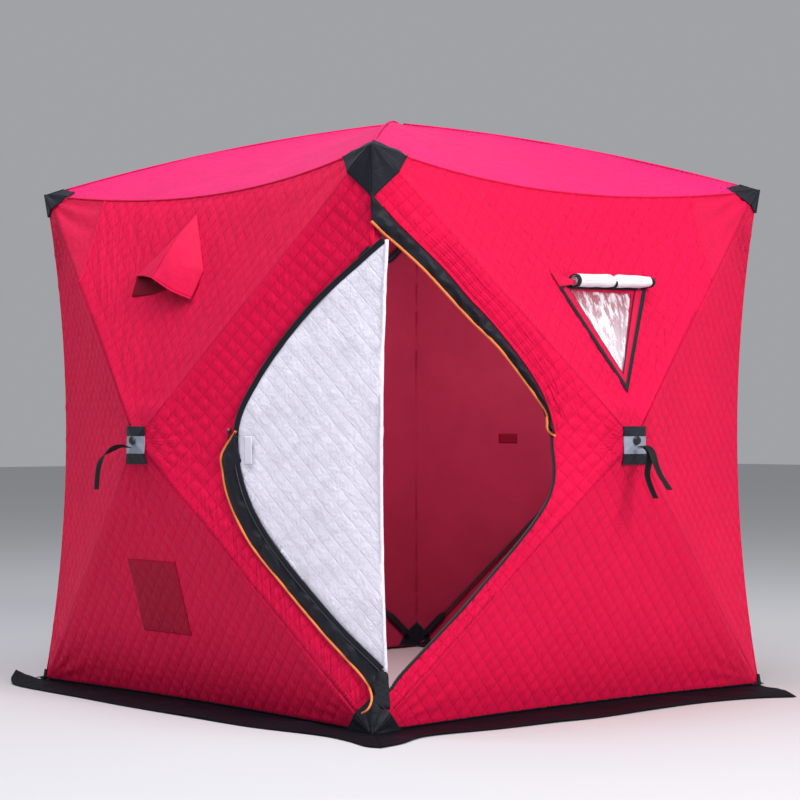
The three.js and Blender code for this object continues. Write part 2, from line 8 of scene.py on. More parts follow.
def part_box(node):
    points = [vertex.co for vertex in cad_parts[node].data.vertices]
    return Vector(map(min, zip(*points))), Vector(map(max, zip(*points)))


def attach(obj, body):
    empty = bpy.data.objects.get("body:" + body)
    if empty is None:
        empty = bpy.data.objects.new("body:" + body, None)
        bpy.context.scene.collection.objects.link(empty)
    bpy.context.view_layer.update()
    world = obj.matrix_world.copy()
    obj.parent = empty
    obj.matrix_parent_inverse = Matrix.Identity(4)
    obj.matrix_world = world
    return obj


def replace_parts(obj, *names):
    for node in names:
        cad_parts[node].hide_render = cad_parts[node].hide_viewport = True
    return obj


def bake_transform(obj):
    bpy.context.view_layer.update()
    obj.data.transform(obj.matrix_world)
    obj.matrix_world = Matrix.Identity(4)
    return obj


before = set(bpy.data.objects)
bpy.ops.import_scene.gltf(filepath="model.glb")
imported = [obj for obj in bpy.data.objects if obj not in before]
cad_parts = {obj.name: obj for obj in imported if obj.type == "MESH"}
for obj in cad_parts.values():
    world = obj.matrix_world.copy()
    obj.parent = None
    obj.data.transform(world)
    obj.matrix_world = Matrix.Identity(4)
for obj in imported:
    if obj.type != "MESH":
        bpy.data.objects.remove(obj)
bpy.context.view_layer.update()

# ---------------------------------------------------------------- dimensions
# metres; the wall frame is u to the right as seen from outside, v up, w out

HALF = 0.9                # half the side of the footprint
CORNER_H = 1.75
APEX_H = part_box("roof_canopy")[1][2]
HUB_H = 0.87
HUB_OUT = 0.23            # how far a wall's hub stands out of the plane of its corners
SIDE_PULL = 0.053         # how far the taut cloth draws a corner's edge in at its middle
EAVE_PULL = 0.070         # the same for an eave, inwards and down
HEM_H = 0.006
HEM_LIFT = 0.008          # the same for a hem, inwards and up
ROOF_BOW = 0.030          # how far the roof bows up between its peak and an eave
QUILT = 0.058             # quilt line spacing, measured along the wall's level
QUILT_DEEP = 0.0035
STITCH_REACH = 0.0022     # half the width of the groove that a stitch line pulls
FABRIC = 0.006            # thickness of the quilted cloth
STEP = QUILT / 6          # grid step of the quilted pieces

WALLS = ["front_left", "front_right", "back_right", "back_left"]
SECTORS = ["left", "top", "right", "bottom"]
SECTOR_PLUMP = [1.5, 0.55, 1.5, 0.9]      # how strongly each sector's quilting stands out
CORNERS = {"door": (1, -1), "right": (1, 1), "back": (-1, 1), "left": (-1, -1)}

# door outlines: distance from the door corner, and height
LEFT_ZIP = [(0, 1.482), (.067, 1.420), (.243, 1.259), (.425, 1.058), (.513, .89), (.434, .64), (.167, .353),
            (0, .215)]
LEFT_GATHERS = [(0, .118), (.186, .290), (.461, .562), (.555, .72), (.560, .819), (.508, .862)]
RIGHT_EDGE = [(0, 1.6), (.092, 1.512), (.232, 1.394), (.328, 1.298), (.402, 1.230), (.520, 1.095),
              (.588, .98), (.622, .86), (.597, .68), (.349, .404), (.114, .182), (.064, .128), (0, .1)]
LEAF_EDGE = [(0, 1.466), (.074, 1.414), (.264, 1.262), (.454, 1.058), (.543, .88), (.467, .64), (.194, .353),
             (0, .19)]
LEAF_AXIS = (0.922, -0.880)          # x and y of the folded half's hinge
LEAF_DIR = math.radians(194.44)      # the way it lies from there

WINDOW_MID, WINDOW_TOP, WINDOW_FOOT, WINDOW_HALF = 0.03, 1.352, 1.062, 0.146


# ------------------------------------------------------------ camera, lights

def add_camera():
    focal_px = 2086
    azimuth = math.radians(48.5)
    distance = 7.45
    eye = Vector((math.sin(azimuth) * distance, -math.cos(azimuth) * distance, 0.9))
    horizon_drop = 31 / focal_px
    side_drift = 1.6 / focal_px
    data = bpy.data.cameras.new("camera")
    data.sensor_width = 36
    data.lens = 36 * focal_px / 800
    camera = bpy.data.objects.new("camera", data)
    bpy.context.scene.collection.objects.link(camera)
    camera.location = eye
    camera.rotation_euler = (math.pi / 2 + horizon_drop, 0, azimuth - side_drift)
    bpy.context.scene.camera = camera


def area_light(name, place, target, size, power, colour=(1, 1, 1)):
    data = bpy.data.lights.new(name, "AREA")
    data.size = size
    data.energy = power
    data.color = colour
    light = bpy.data.objects.new(name, data)
    bpy.context.scene.collection.objects.link(light)
    light.location = place
    direction = Vector(target) - Vector(place)
    light.rotation_euler = direction.to_track_quat("-Z", "Y").to_euler()


def add_light():
    bpy.context.scene.view_settings.view_transform = "Standard"
    world = bpy.data.worlds.new("studio")
    world.use_nodes = True
    world.node_tree.nodes["Background"].inputs["Color"].default_value = (0.93, 0.95, 1, 1)
    world.node_tree.nodes["Background"].inputs["Strength"].default_value = 0.38
    bpy.context.scene.world = world
    area_light("key", (8.0, -0.8, 5.0), (0.3, 0, 0.9), 3.0, 600, (1, 0.97, 0.95))
    area_light("sky", (0.5, -2.5, 7.0), (0, 0, 1.2), 7.0, 500, (0.90, 0.92, 1))
    area_light("inside", (0.2, -0.2, 1.55), (-0.5, 0.4, 0.7), 0.7, 21, (1, 0.90, 0.92))


# ------------------------------------------------------------------ materials

def principled(name, colour, roughness, **sockets):
    material = bpy.data.materials.new(name)
    material.use_nodes = True
    shader = material.node_tree.nodes["Principled BSDF"]
    shader.inputs["Base Color"].default_value = (*colour, 1)
    shader.inputs["Roughness"].default_value = roughness
    for socket, value in sockets.items():
        shader.inputs[socket.replace("_", " ")].default_value = value
    return material


class Nodes:
    """A short way to add nodes to one material."""

    def __init__(self, material):
        self.tree = material.node_tree
        self.shader = self.tree.nodes["Principled BSDF"]

    def add(self, kind, **settings):
        node = self.tree.nodes.new(kind)
        for key, value in settings.items():
            setattr(node, key, value)
        return node

    def link(self, source, target):
        self.tree.links.new(source, target)

    def math(self, operation, a, b=None, c=None):
        node = self.add("ShaderNodeMath", operation=operation)
        for i, value in enumerate((a, b, c)):
            if value is None:
                continue
            if isinstance(value, (int, float)):
                node.inputs[i].default_value = value
            else:
                self.link(value, node.inputs[i])
        return node.outputs[0]

    def noise(self, coordinates, scale, detail=3, roughness=0.5):
        node = self.add("ShaderNodeTexNoise")
        node.inputs["Scale"].default_value = scale
        node.inputs["Detail"].default_value = detail
        node.inputs["Roughness"].default_value = roughness
        self.link(coordinates, node.inputs["Vector"])
        return node.outputs["Fac"]

    def ramp(self, factor, stops):
        node = self.add("ShaderNodeValToRGB")
        while len(node.color_ramp.elements) < len(stops):
            node.color_ramp.elements.new(0.5)
        for element, (position, colour) in zip(node.color_ramp.elements, stops):
            element.position = position
            element.color = (*colour, 1)
        self.link(factor, node.inputs["Fac"])
        return node.outputs["Color"]

    def bump(self, height, distance, strength=1.0, normal=None):
        node = self.add("ShaderNodeBump")
        node.inputs["Distance"].default_value = distance
        node.inputs["Strength"].default_value = strength
        self.link(height, node.inputs["Height"])
        if normal is not None:
            self.link(normal, node.inputs["Normal"])
        return node.outputs["Normal"]

    def split(self, vector):
        node = self.add("ShaderNodeSeparateXYZ")
        self.link(vector, node.inputs[0])
        return node.outputs

    def stretched(self, coordinates, scale, turn=0.0):
        node = self.add("ShaderNodeMapping")
        node.inputs["Rotation"].default_value = (0, 0, turn)
        node.inputs["Scale"].default_value = scale
        self.link(coordinates, node.inputs["Vector"])
        return node.outputs["Vector"]

    def map_range(self, value, *limits):
        """`value` carried from its own low and high to two others."""
        node = self.add("ShaderNodeMapRange")
        for socket, limit in zip(("From Min", "From Max", "To Min", "To Max"), limits):
            node.inputs[socket].default_value = limit
        self.link(value, node.inputs["Value"])
        return node.outputs["Result"]

    def cloth_coordinates(self):
        return self.add("ShaderNodeUVMap", uv_map="cloth").outputs["UV"]

    def object_coordinates(self):
        return self.add("ShaderNodeTexCoord").outputs["Object"]


def shade(colour, factor):
    return tuple(min(1, c * factor) for c in colour)


def weave(nodes, coordinates, thread=0.0012):
    """Height of a plain weave of that thread size, from crossed waves."""
    turn = 2 * math.pi / thread
    waves = [nodes.math("SINE", nodes.math("MULTIPLY", way, turn)) for way in nodes.split(coordinates)[:2]]
    return nodes.math("MULTIPLY", *waves)


def quilt_groove(nodes, coordinates, faint=0.0):
    """1 on the quilt's stitch lines, falling to 0 beside them. `faint` takes away from the
    lines of the first direction."""
    u, v = nodes.split(coordinates)[:2]
    first, second = (nodes.math("PINGPONG", nodes.math(way, u, v), QUILT / 2) for way in ("ADD", "SUBTRACT"))
    reach = STITCH_REACH * math.sqrt(2)
    least = nodes.math("MINIMUM", nodes.math("ADD", first, faint * reach), second)
    return nodes.math("SUBTRACT", 1, nodes.math("MINIMUM", nodes.math("DIVIDE", least, reach), 1))


def quilted_cloth(name, colour, roughness, crinkle, dark, folded=False, faint=0.0, stretched=0.24, **sockets):
    """Quilted cloth, with painted shade darkening it towards `dark` in its grooves, creased along one way,
    gathered if it is `folded`.
    """
    material = principled(name, colour, roughness, **sockets)
    nodes = Nodes(material)
    cloth = nodes.cloth_coordinates()
    groove = quilt_groove(nodes, cloth, faint=faint)
    patch = nodes.noise(cloth, 3.0, 4, 0.6)
    mix = nodes.add("ShaderNodeMix", data_type="RGBA")
    nodes.link(nodes.ramp(patch, [(0.3, shade(colour, 0.93)), (0.7, shade(colour, 1.05))]), mix.inputs["A"])
    # painted shade: along the stitch grooves the colour is mixed towards shade(colour, dark)
    mix.inputs["B"].default_value = (*shade(colour, dark), 1)
    nodes.link(nodes.math("MULTIPLY", groove, 0.8), mix.inputs["Factor"])
    nodes.link(mix.outputs["Result"], nodes.shader.inputs["Base Color"])
    gloss = nodes.map_range(nodes.noise(cloth, 40, 2, 0.5), 0, 1, roughness - 0.06, roughness + 0.08)
    nodes.link(gloss, nodes.shader.inputs["Roughness"])
    creases = nodes.noise(nodes.stretched(cloth, (1, stretched, 1), math.radians(-8)), 90, 4, 0.62)
    first = nodes.bump(creases, 0.004 * crinkle)
    second = nodes.bump(nodes.math("MULTIPLY", groove, -1), 0.0012, 1.0, first)
    third = nodes.bump(weave(nodes, cloth), 0.00012, 0.5, second)
    if folded:
        third = long_folds(nodes, cloth, third)
    nodes.link(third, nodes.shader.inputs["Normal"])
    return material


def long_folds(nodes, cloth, normal):
    """Gathers beside the seams: the folds layer holds the way across them and their strength."""
    across, strength = nodes.split(nodes.add("ShaderNodeUVMap", uv_map="folds").outputs["UV"])[:2]
    u, v = nodes.split(cloth)[:2]
    both = nodes.add("ShaderNodeCombineXYZ")
    nodes.link(across, both.inputs[0])
    nodes.link(nodes.math("MULTIPLY", nodes.math("ADD", u, v), 0.09), both.inputs[1])
    ridges = nodes.noise(both.outputs[0], 85, 3, 0.55)
    return nodes.bump(nodes.math("MULTIPLY", ridges, strength), 0.020, 1.0, normal)


def plain_cloth(name, colour, roughness, crinkle, scale, thread=0.0014, **sockets):
    material = principled(name, colour, roughness, **sockets)
    nodes = Nodes(material)
    place = nodes.object_coordinates()
    patch = nodes.noise(place, 4.0, 4, 0.6)
    tint = nodes.ramp(patch, [(0.3, shade(colour, 0.9)), (0.7, shade(colour, 1.08))])
    nodes.link(tint, nodes.shader.inputs["Base Color"])
    creases = nodes.noise(place, scale, 4, 0.6)
    first = nodes.bump(creases, 0.004 * crinkle)
    second = nodes.bump(weave(nodes, place, thread), 0.0002, 0.5, first)
    nodes.link(second, nodes.shader.inputs["Normal"])
    return material


def vinyl():
    """Clear soft vinyl, crinkled, that mirrors the sky in streaks, with whiter streaks also painted into its
    opacity as a painted reflection, and is hazier towards its foot.
    """
    material = principled("clear_vinyl", (0.80, 0.74, 0.80), 0.16, IOR=1.45, Alpha=0.5)
    nodes = Nodes(material)
    place = nodes.object_coordinates()
    streaks = nodes.noise(nodes.stretched(place, (1, 1, 0.16)), 48, 4, 0.6)
    nodes.link(nodes.bump(streaks, 0.004), nodes.shader.inputs["Normal"])
    haze = nodes.map_range(nodes.split(place)[2], 1.36, 1.10, 0.0, 0.62)
    # painted reflection: the pane is more opaque and paler along the streaks
    streak_glare = nodes.map_range(streaks, 0.47, 0.60, 0.02, 0.80)
    nodes.link(nodes.math("MINIMUM", nodes.math("ADD", streak_glare, haze), 0.97), nodes.shader.inputs["Alpha"])
    return material


def hard_plastic(name, colour, roughness, **sockets):
    material = principled(name, colour, roughness, **sockets)
    nodes = Nodes(material)
    place = nodes.object_coordinates()
    grain = nodes.noise(place, 900, 2, 0.5)
    nodes.link(nodes.bump(grain, 0.0002, 0.5), nodes.shader.inputs["Normal"])
    wear = nodes.noise(place, 60, 4, 0.6)
    tint = nodes.ramp(wear, [(0.35, shade(colour, 0.85)), (0.75, shade(colour, 1.4))])
    nodes.link(tint, nodes.shader.inputs["Base Color"])
    return material


RED = (0.74, 0.005, 0.058)
# the roof's red, with a painted sheen of the sky making it pinker and bluer than the walls
ROOF_RED_AND_SKY_SHEEN = (0.66, 0.010, 0.120)
MAROON = (0.34, 0.020, 0.058)
BLACK = (0.008, 0.009, 0.016)
LINING = (0.84, 0.81, 0.92)
ORANGE = (0.80, 0.22, 0.05)

MATERIALS = {}


PINK = (1, 0.25, 0.6, 1)
# quilts: name, colour, roughness, crinkle, how dark the painted shade in the grooves is, other settings
QUILTS = {
    "red": ("red_quilt", RED, 0.5, 1.7, 0.84, dict(folded=True, Sheen_Weight=0.05, Sheen_Tint=PINK,
                                                   Specular_IOR_Level=0.12, Specular_Tint=(1, 0.5, 0.7, 1))),
    "silver": ("silver_lining", LINING, 0.4, 1.3, 0.93, dict(faint=0.5, stretched=0.75)),
    # pocket: the red at 0.56, painted shade of the pocket sewn behind the wall's cloth
    "pocket": ("pocket_cloth", shade(RED, 0.56), 0.5, 1.6, 0.9, dict(Specular_IOR_Level=0.1)),
}
# plain cloths: name, colour, roughness, crinkle, the crinkle's scale, other settings
PLAIN_CLOTHS = {
    "hood": ("hood_cloth", (0.68, 0.003, 0.055), 0.5, 0.5, 40,
             dict(Sheen_Weight=0.08, Sheen_Tint=PINK, Specular_IOR_Level=0.12)),
    "roof": ("roof_cloth", ROOF_RED_AND_SKY_SHEEN, 0.55, 2.4, 18,
             dict(Sheen_Weight=0.06, Sheen_Tint=(1, 0.3, 0.7, 1), Specular_IOR_Level=0.12)),
    "maroon": ("inner_lining", MAROON, 0.6, 0.5, 14, dict(Specular_IOR_Level=0.1)),
    "black": ("black_cloth", BLACK, 0.5, 0.9, 35, dict(Sheen_Weight=0.03, Specular_IOR_Level=0.22)),
    "skirt": ("skirt_cloth", (0.004, 0.004, 0.008), 0.65, 0.9, 35, dict(Specular_IOR_Level=0.10)),
    "orange": ("orange_piping", ORANGE, 0.5, 0.2, 90, {}),
    "webbing": ("webbing", (0.008, 0.008, 0.010), 0.6, 0.2, 90, dict(thread=0.003, Specular_IOR_Level=0.2)),
    "red_plain": ("red_plain", (0.60, 0.003, 0.052), 0.5, 1.6, 22,
                  dict(Sheen_Weight=0.04, Specular_IOR_Level=0.12)),
    # hood_inside: the red at a quarter, painted shade for the hood's underside and the vent's mouth; the tab
    # inside the back wall uses it too
    "hood_inside": ("hood_inside", shade(RED, 0.25), 0.6, 0.4, 30, dict(Specular_IOR_Level=0.1)),
    "lining_plain": ("lining_plain", (0.80, 0.79, 0.84), 0.45, 0.6, 50, {}),
    "silver_patch": ("silver_patch", (0.23, 0.262, 0.33), 0.4, 0.4, 70, dict(Sheen_Weight=0.15)),
    "mesh": ("vent_mesh", (0.03, 0.012, 0.016), 0.7, 0.3, 60, dict(thread=0.002)),
    "tab": ("pull_tab", (0.72, 0.71, 0.80), 0.5, 0.2, 90, {}),
}
# hard materials: name, colour, roughness, other settings
HARD = {
    "rod": ("fibreglass", (0.02, 0.02, 0.023), 0.3, {}),
    "plastic": ("hub_plastic", (0.012, 0.012, 0.014), 0.4, {}),
    "metal": ("zip_metal", (0.55, 0.56, 0.58), 0.3, dict(Metallic=1.0)),
}


def make_materials():
    for make, table in ((quilted_cloth, QUILTS), (plain_cloth, PLAIN_CLOTHS), (hard_plastic, HARD)):
        for key, (*values, settings) in table.items():
            MATERIALS[key] = make(*values, **settings)
    MATERIALS["vinyl"] = vinyl()


# -------------------------------------------------------------- mesh helpers


def finish_mesh(name, points, faces, materials, uv, face_material=None, folds=None):
    """A new piece. Its cloth layer holds places on the flat cloth, and its folds layer says how the
    red quilt is gathered."""
    mesh = bpy.data.meshes.new(name)
    mesh.from_pydata([tuple(p) for p in points], [], [tuple(f) for f in faces])
    for material in materials:
        mesh.materials.append(MATERIALS[material])
    if face_material is not None:
        mesh.polygons.foreach_set("material_index", np.asarray(face_material, np.int32))
    mesh.polygons.foreach_set("use_smooth", np.full(len(mesh.polygons), True))
    loops = np.empty(len(mesh.loops), np.int32)
    mesh.loops.foreach_get("vertex_index", loops)
    for layer_name, values in (("cloth", uv), ("folds", folds)):
        if values is not None:
            layer = mesh.uv_layers.new(name=layer_name)
            layer.data.foreach_set("uv", np.asarray(values, np.float32)[loops].ravel())
    mesh.validate()
    piece = bpy.data.objects.new(name, mesh)
    bpy.context.scene.collection.objects.link(piece)
    return piece


def wall_point(wall, u, v, w):
    """World points of arrays in a wall's own frame."""
    x, y = np.asarray(u, float), -(HALF + np.asarray(w, float))
    cos, sin = ((1, 0), (0, 1), (-1, 0), (0, -1))[wall]
    v = np.broadcast_to(v, np.broadcast(x, y).shape)
    return np.stack([cos * x - sin * y, sin * x + cos * y, v], -1)


def smooth_step(x):
    x = np.clip(x, 0, 1)
    return x * x * (3 - 2 * x)


def bell(distance, width):
    return np.exp(-((distance / width) ** 2))


def edge_share(u):
    return 1 - (u / HALF) ** 2


def side_bow(v):
    t = np.clip((v - HEM_H) / (CORNER_H - HEM_H), 0, 1)
    return SIDE_PULL * 4 * t * (1 - t)


def eave_height(u):
    return CORNER_H - EAVE_PULL * edge_share(u)


def hem_height(u):
    return HEM_H + HEM_LIFT * edge_share(u)


def bisect(function, low, high, turns=40):
    low, high = np.array(low, float), np.array(high, float)
    for _ in range(turns):
        middle = (low + high) / 2
        below = function(middle) < 0
        low = np.where(below, middle, low)
        high = np.where(below, high, middle)
    return (low + high) / 2


def sector_of(u, v):
    """0 left, 1 top, 2 right, 3 bottom, as the poles divide a wall."""
    across = np.abs(u) / HALF
    up = (v - HUB_H) / (CORNER_H - HUB_H)
    down = (HUB_H - v) / (HUB_H - HEM_H)
    sector = np.where(u < 0, 0, 2)
    sector = np.where(up > across, 1, sector)
    return np.where(down > across, 3, sector)


def wall_out(u, v):
    """How far the taut fabric stands out of the plane of the corners."""
    u, v = np.broadcast_arrays(np.asarray(u, float), np.asarray(v, float))
    across, up = np.abs(u), v - HUB_H
    sector = sector_of(u, v)
    ones = np.ones_like(across)
    edge_v = bisect(lambda e: (e - HUB_H) * across - up * (HALF - side_bow(e)), HEM_H * ones, CORNER_H * ones)
    bow = side_bow(edge_v)
    share = across / (HALF - bow)
    side = HUB_OUT * (1 - share) - bow * share
    edge_u = bisect(lambda e: e * up - across * (eave_height(e) - HUB_H), 0 * ones, HALF * ones)
    share = up / (eave_height(edge_u) - HUB_H)
    top = HUB_OUT * (1 - share) - EAVE_PULL * edge_share(edge_u) * share
    edge_u = bisect(lambda e: -e * up - across * (HUB_H - hem_height(e)), 0 * ones, HALF * ones)
    share = -up / (HUB_H - hem_height(edge_u))
    low = HUB_OUT * (1 - share) - HEM_LIFT * edge_share(edge_u) * share
    return np.where(sector == 1, top, np.where(sector == 3, low, side))


def wall_normal(u, v, step=0.004):
    """Outward normal of the fabric, in the wall's frame, away from the ridges."""
    slope_u = (wall_out(u + step, v) - wall_out(u - step, v)) / (2 * step)
    slope_v = (wall_out(u, v + step) - wall_out(u, v - step)) / (2 * step)
    normal = np.stack([-slope_u, -slope_v, np.ones_like(slope_u)], -1)
    return normal / np.linalg.norm(normal, axis=-1, keepdims=True)


def spline(points, count=60):
    """Even points on a Catmull-Rom curve through the given ones."""
    p = np.asarray(points, float)
    p = np.vstack([2 * p[0] - p[1], p, 2 * p[-1] - p[-2]])
    made = []
    for a, b, c, d in zip(p, p[1:], p[2:], p[3:]):
        for t in np.linspace(0, 1, 30, endpoint=False):
            made.append(0.5 * (2 * b + (c - a) * t + (2 * a - 5 * b + 4 * c - d) * t**2
                               + (3 * b - a - 3 * c + d) * t**3))
    made.append(p[-2])
    return even(np.array(made), count)


def even(line, count):
    """The same line in equal steps."""
    gaps = np.linalg.norm(np.diff(line, axis=0), axis=1)
    run = np.concatenate([[0], np.cumsum(gaps)])
    at = np.linspace(0, run[-1], count)
    return np.stack([np.interp(at, run, line[:, i]) for i in range(line.shape[1])], 1)


def inside(outline, u, v):
    """Which points lie inside a closed outline."""
    result = np.zeros(np.shape(u), bool)
    x0, y0 = outline[:, 0], outline[:, 1]
    x1, y1 = np.roll(x0, -1), np.roll(y0, -1)
    for a, b, c, d in zip(x0, y0, x1, y1):
        if b == d:
            continue
        crosses = ((b > v) != (d > v)) & (u < (c - a) * (v - b) / (d - b) + a)
        result ^= crosses
    return result


def nearest_on_lines(starts, ends, points):
    """The nearest point of some straight lines to each point, and how far it is."""
    best = np.full(len(points), np.inf)
    where = points.copy()
    for start, end in zip(starts, ends):
        step = end - start
        t = np.clip(((points - start) @ step) / max(step @ step, 1e-12), 0, 1)
        spot = start + t[:, None] * step
        miss = np.linalg.norm(points - spot, axis=1)
        closer = miss < best
        best = np.where(closer, miss, best)
        where[closer] = spot[closer]
    return where, best


def nearest_on(outline, points):
    """The same for a closed outline."""
    return nearest_on_lines(outline, np.roll(outline, -1, axis=0), points)


def seeded(cell_a, cell_b, salt=0.0):
    """A fixed random number from 0 to 1 for each cell."""
    value = np.sin(cell_a * 12.9898 + cell_b * 78.233 + salt * 37.719) * 43758.5453
    return value - np.floor(value)


def quilt_height(u, v, salt=0.0, first=0.5):
    """Height of the quilt's pillows: 0 on the stitch lines. `first` says how deep the lines
    of the first direction pull."""
    p, q = (u + v) / QUILT, (u - v) / QUILT
    pillow = np.abs(np.sin(np.pi * p)) ** first * np.abs(np.sin(np.pi * q)) ** 0.5
    plump = 0.75 + 0.5 * seeded(np.floor(p), np.floor(q), salt)
    return pillow * plump


def soft_noise(u, v, scale, salt=0.0):
    """Smooth value noise from -1 to 1."""
    x, y = u / scale, v / scale
    i, j = np.floor(x), np.floor(y)
    fx, fy = x - i, y - j
    fx, fy = fx * fx * (3 - 2 * fx), fy * fy * (3 - 2 * fy)
    low = seeded(i, j, salt) * (1 - fx) + seeded(i + 1, j, salt) * fx
    high = seeded(i, j + 1, salt) * (1 - fx) + seeded(i + 1, j + 1, salt) * fx
    return 2 * (low * (1 - fy) + high * fy) - 1


# --------------------------------------------------------------- wall fabric

def wall_outline(count=400):
    """The wall's own bowed outline in u and v, anticlockwise."""
    u = np.linspace(-HALF, HALF, count)
    v = np.linspace(HEM_H, CORNER_H, count)
    right = np.stack([HALF - side_bow(v), v], 1)
    left = np.stack([-(HALF - side_bow(v)), v], 1)[::-1]
    hem = np.stack([u, hem_height(u)], 1)
    eave = np.stack([u, eave_height(u)], 1)[::-1]
    return np.vstack([hem[:-1], right[:-1], eave[:-1], left[:-1]])


WALL_CORNERS = [(-HALF, CORNER_H), (HALF, CORNER_H), (-HALF, HEM_H), (HALF, HEM_H)]


def nearest_ridge(points):
    """The nearest point on the four pole lines, and how far it is."""
    return nearest_on_lines([np.array([0, HUB_H])] * 4, np.array(WALL_CORNERS), points)


def tension(u, v):
    """Shallow folds that fan out from the corners and the hub."""
    total = np.zeros_like(u)
    for i, (cu, cv) in enumerate([*WALL_CORNERS, (0, HUB_H)]):
        du, dv = np.abs(u - cu), np.abs(v - cv)
        fan = np.sin(np.arctan2(dv, du) * (22 + 3 * i) + 2 * soft_noise(u, v, 0.2, i))
        total += 0.0018 * fan * bell(np.hypot(du, dv) - 0.16, 0.17)
    return total


def gathers(wall, u, v):
    """Where the wall's cloth is gathered: the way across the folds, and their strength."""
    points = np.stack([u, v], -1)
    fields = [(u * 1.7, 0.75 * np.exp(-np.abs(eave_height(np.clip(u, -HALF, HALF)) - v) / 0.022))]
    for cu in (-HALF, HALF):
        du, dv = np.abs(u - cu), np.abs(v - CORNER_H)
        strength = 0.40 if wall < 2 and cu == (HALF, -HALF)[wall] else 0.85
        fields.append((np.arctan2(dv, du) * 0.45, strength * bell(np.hypot(du, dv) - 0.22, 0.10)))
    by_hub = 0.35 * bell(np.hypot(u, v - HUB_H) - 0.09, 0.05)
    fields.append((np.arctan2(v - HUB_H, np.abs(u)) * 0.30, by_hub))
    # a fan over the top sector, clear of the ridges and the hub
    clear = smooth_step(nearest_ridge(points)[1] / 0.09)
    strength = 0.80 if wall == 1 else 0.62
    fan = strength * clear * (sector_of(u, v) == 1) * smooth_step((v - HUB_H - 0.08) / 0.2)
    way = np.arctan2(u, np.maximum(v - HUB_H + 0.3, 0.05)) * 0.42 + 0.004 * soft_noise(u, v, 0.15, 4)
    fields.append((way, fan))
    if wall == 1:
        miss = nearest_on(open_line(spline(on_right_wall(RIGHT_EDGE), 120)), points)[1]
        fields.append((miss, 1.2 * bell(miss, 0.10) * smooth_step((v - 0.80) / 0.25)))
        fields.append((u * 1.3 - v * 0.6, 0.75 * bell(miss, 0.05) * smooth_step((0.8 - v) / 0.2)))
    if wall == 0:
        miss = nearest_on(open_line(spline(on_left_wall(LEFT_GATHERS), 120)), points)[1]
        fields.append((u * 0.9 + v * 0.15, bell(miss, 0.10) * smooth_step((0.80 - v) / 0.15)))
    phases, strengths = (np.array(values) for values in zip(*fields))
    phase = np.take_along_axis(phases, np.argsort(strengths, axis=0)[-1:], 0)[0]
    # the winner, less the runner-up, so that no fold jumps where one field takes over
    ranked = np.sort(strengths, axis=0)
    return phase, np.clip(ranked[-1] - 2 * ranked[-2], 0, 1)


def open_line(line):
    """An open line there and back, so that its nearest point is never on the side that closes it."""
    return np.vstack([line, line[::-1]])


GUSSET_EAVE, GUSSET_RIDGE = (0.585, 1.72), (0.548, 1.407)


def in_gusset(wall, u, v):
    """The plain pieces of cloth at the upper corners, all but the door's."""
    share = (v - GUSSET_RIDGE[1]) / (GUSSET_EAVE[1] - GUSSET_RIDGE[1])
    limit = GUSSET_RIDGE[0] + share * (GUSSET_EAVE[0] - GUSSET_RIDGE[0])
    door_side = (wall == 0) & (u > 0) | (wall == 1) & (u < 0)
    return (np.abs(u) > limit) & (sector_of(u, v) == 1) & ~door_side


def rim_of(cells):
    """The points on the open edges of some cells."""
    edges = np.sort(np.concatenate([cells[:, [i, (i + 1) % 4]] for i in range(4)]), 1)
    unique, counts = np.unique(edges, axis=0, return_counts=True)
    return np.unique(unique[counts == 1])


def grid_cells(rows, columns):
    index = np.arange(rows * columns).reshape(rows, columns)
    return np.stack([index[:-1, :-1], index[:-1, 1:], index[1:, 1:], index[1:, :-1]], -1).reshape(-1, 4)


def cloth_region(keep=None, cuts=()):
    """Grid cells of a wall, inside the outline `keep` if there is one and outside those in cuts,
    with their edges drawn onto the outlines. Returns the grid's points, the cells, each cell's
    sector and which points are on the rim."""
    outer = wall_outline()
    across, tall = int(HALF / STEP) + 2, int(CORNER_H / STEP) + 2
    grid_u, grid_v = np.meshgrid(np.arange(-across, across + 1) * STEP, np.arange(0, tall + 1) * STEP)
    centre_u = (grid_u[:-1, :-1] + STEP / 2).ravel()
    centre_v = (grid_v[:-1, :-1] + STEP / 2).ravel()
    good = inside(outer, centre_u, centre_v)
    if keep is not None:
        good &= inside(keep, centre_u, centre_v)
    for cut in cuts:
        good &= ~inside(cut, centre_u, centre_v)
    cells = grid_cells(*grid_u.shape)[good]
    sectors = sector_of(centre_u[good], centre_v[good])
    points = np.stack([grid_u.ravel(), grid_v.ravel()], 1)
    rim = rim_of(cells)
    lowest, highest = np.full(len(points), 9), np.full(len(points), -1)
    for corner in range(4):
        np.minimum.at(lowest, cells[:, corner], sectors)
        np.maximum.at(highest, cells[:, corner], sectors)
    mixed = highest > lowest
    mixed[rim] = False
    points[mixed] = nearest_ridge(points[mixed])[0]
    spots, miss = nearest_on(outer, points[rim])
    for cut in cuts:
        other, other_miss = nearest_on(cut, points[rim])
        closer = other_miss < miss
        spots[closer] = other[closer]
        miss = np.where(closer, other_miss, miss)
    points[rim] = spots
    return points, cells, sectors, rim


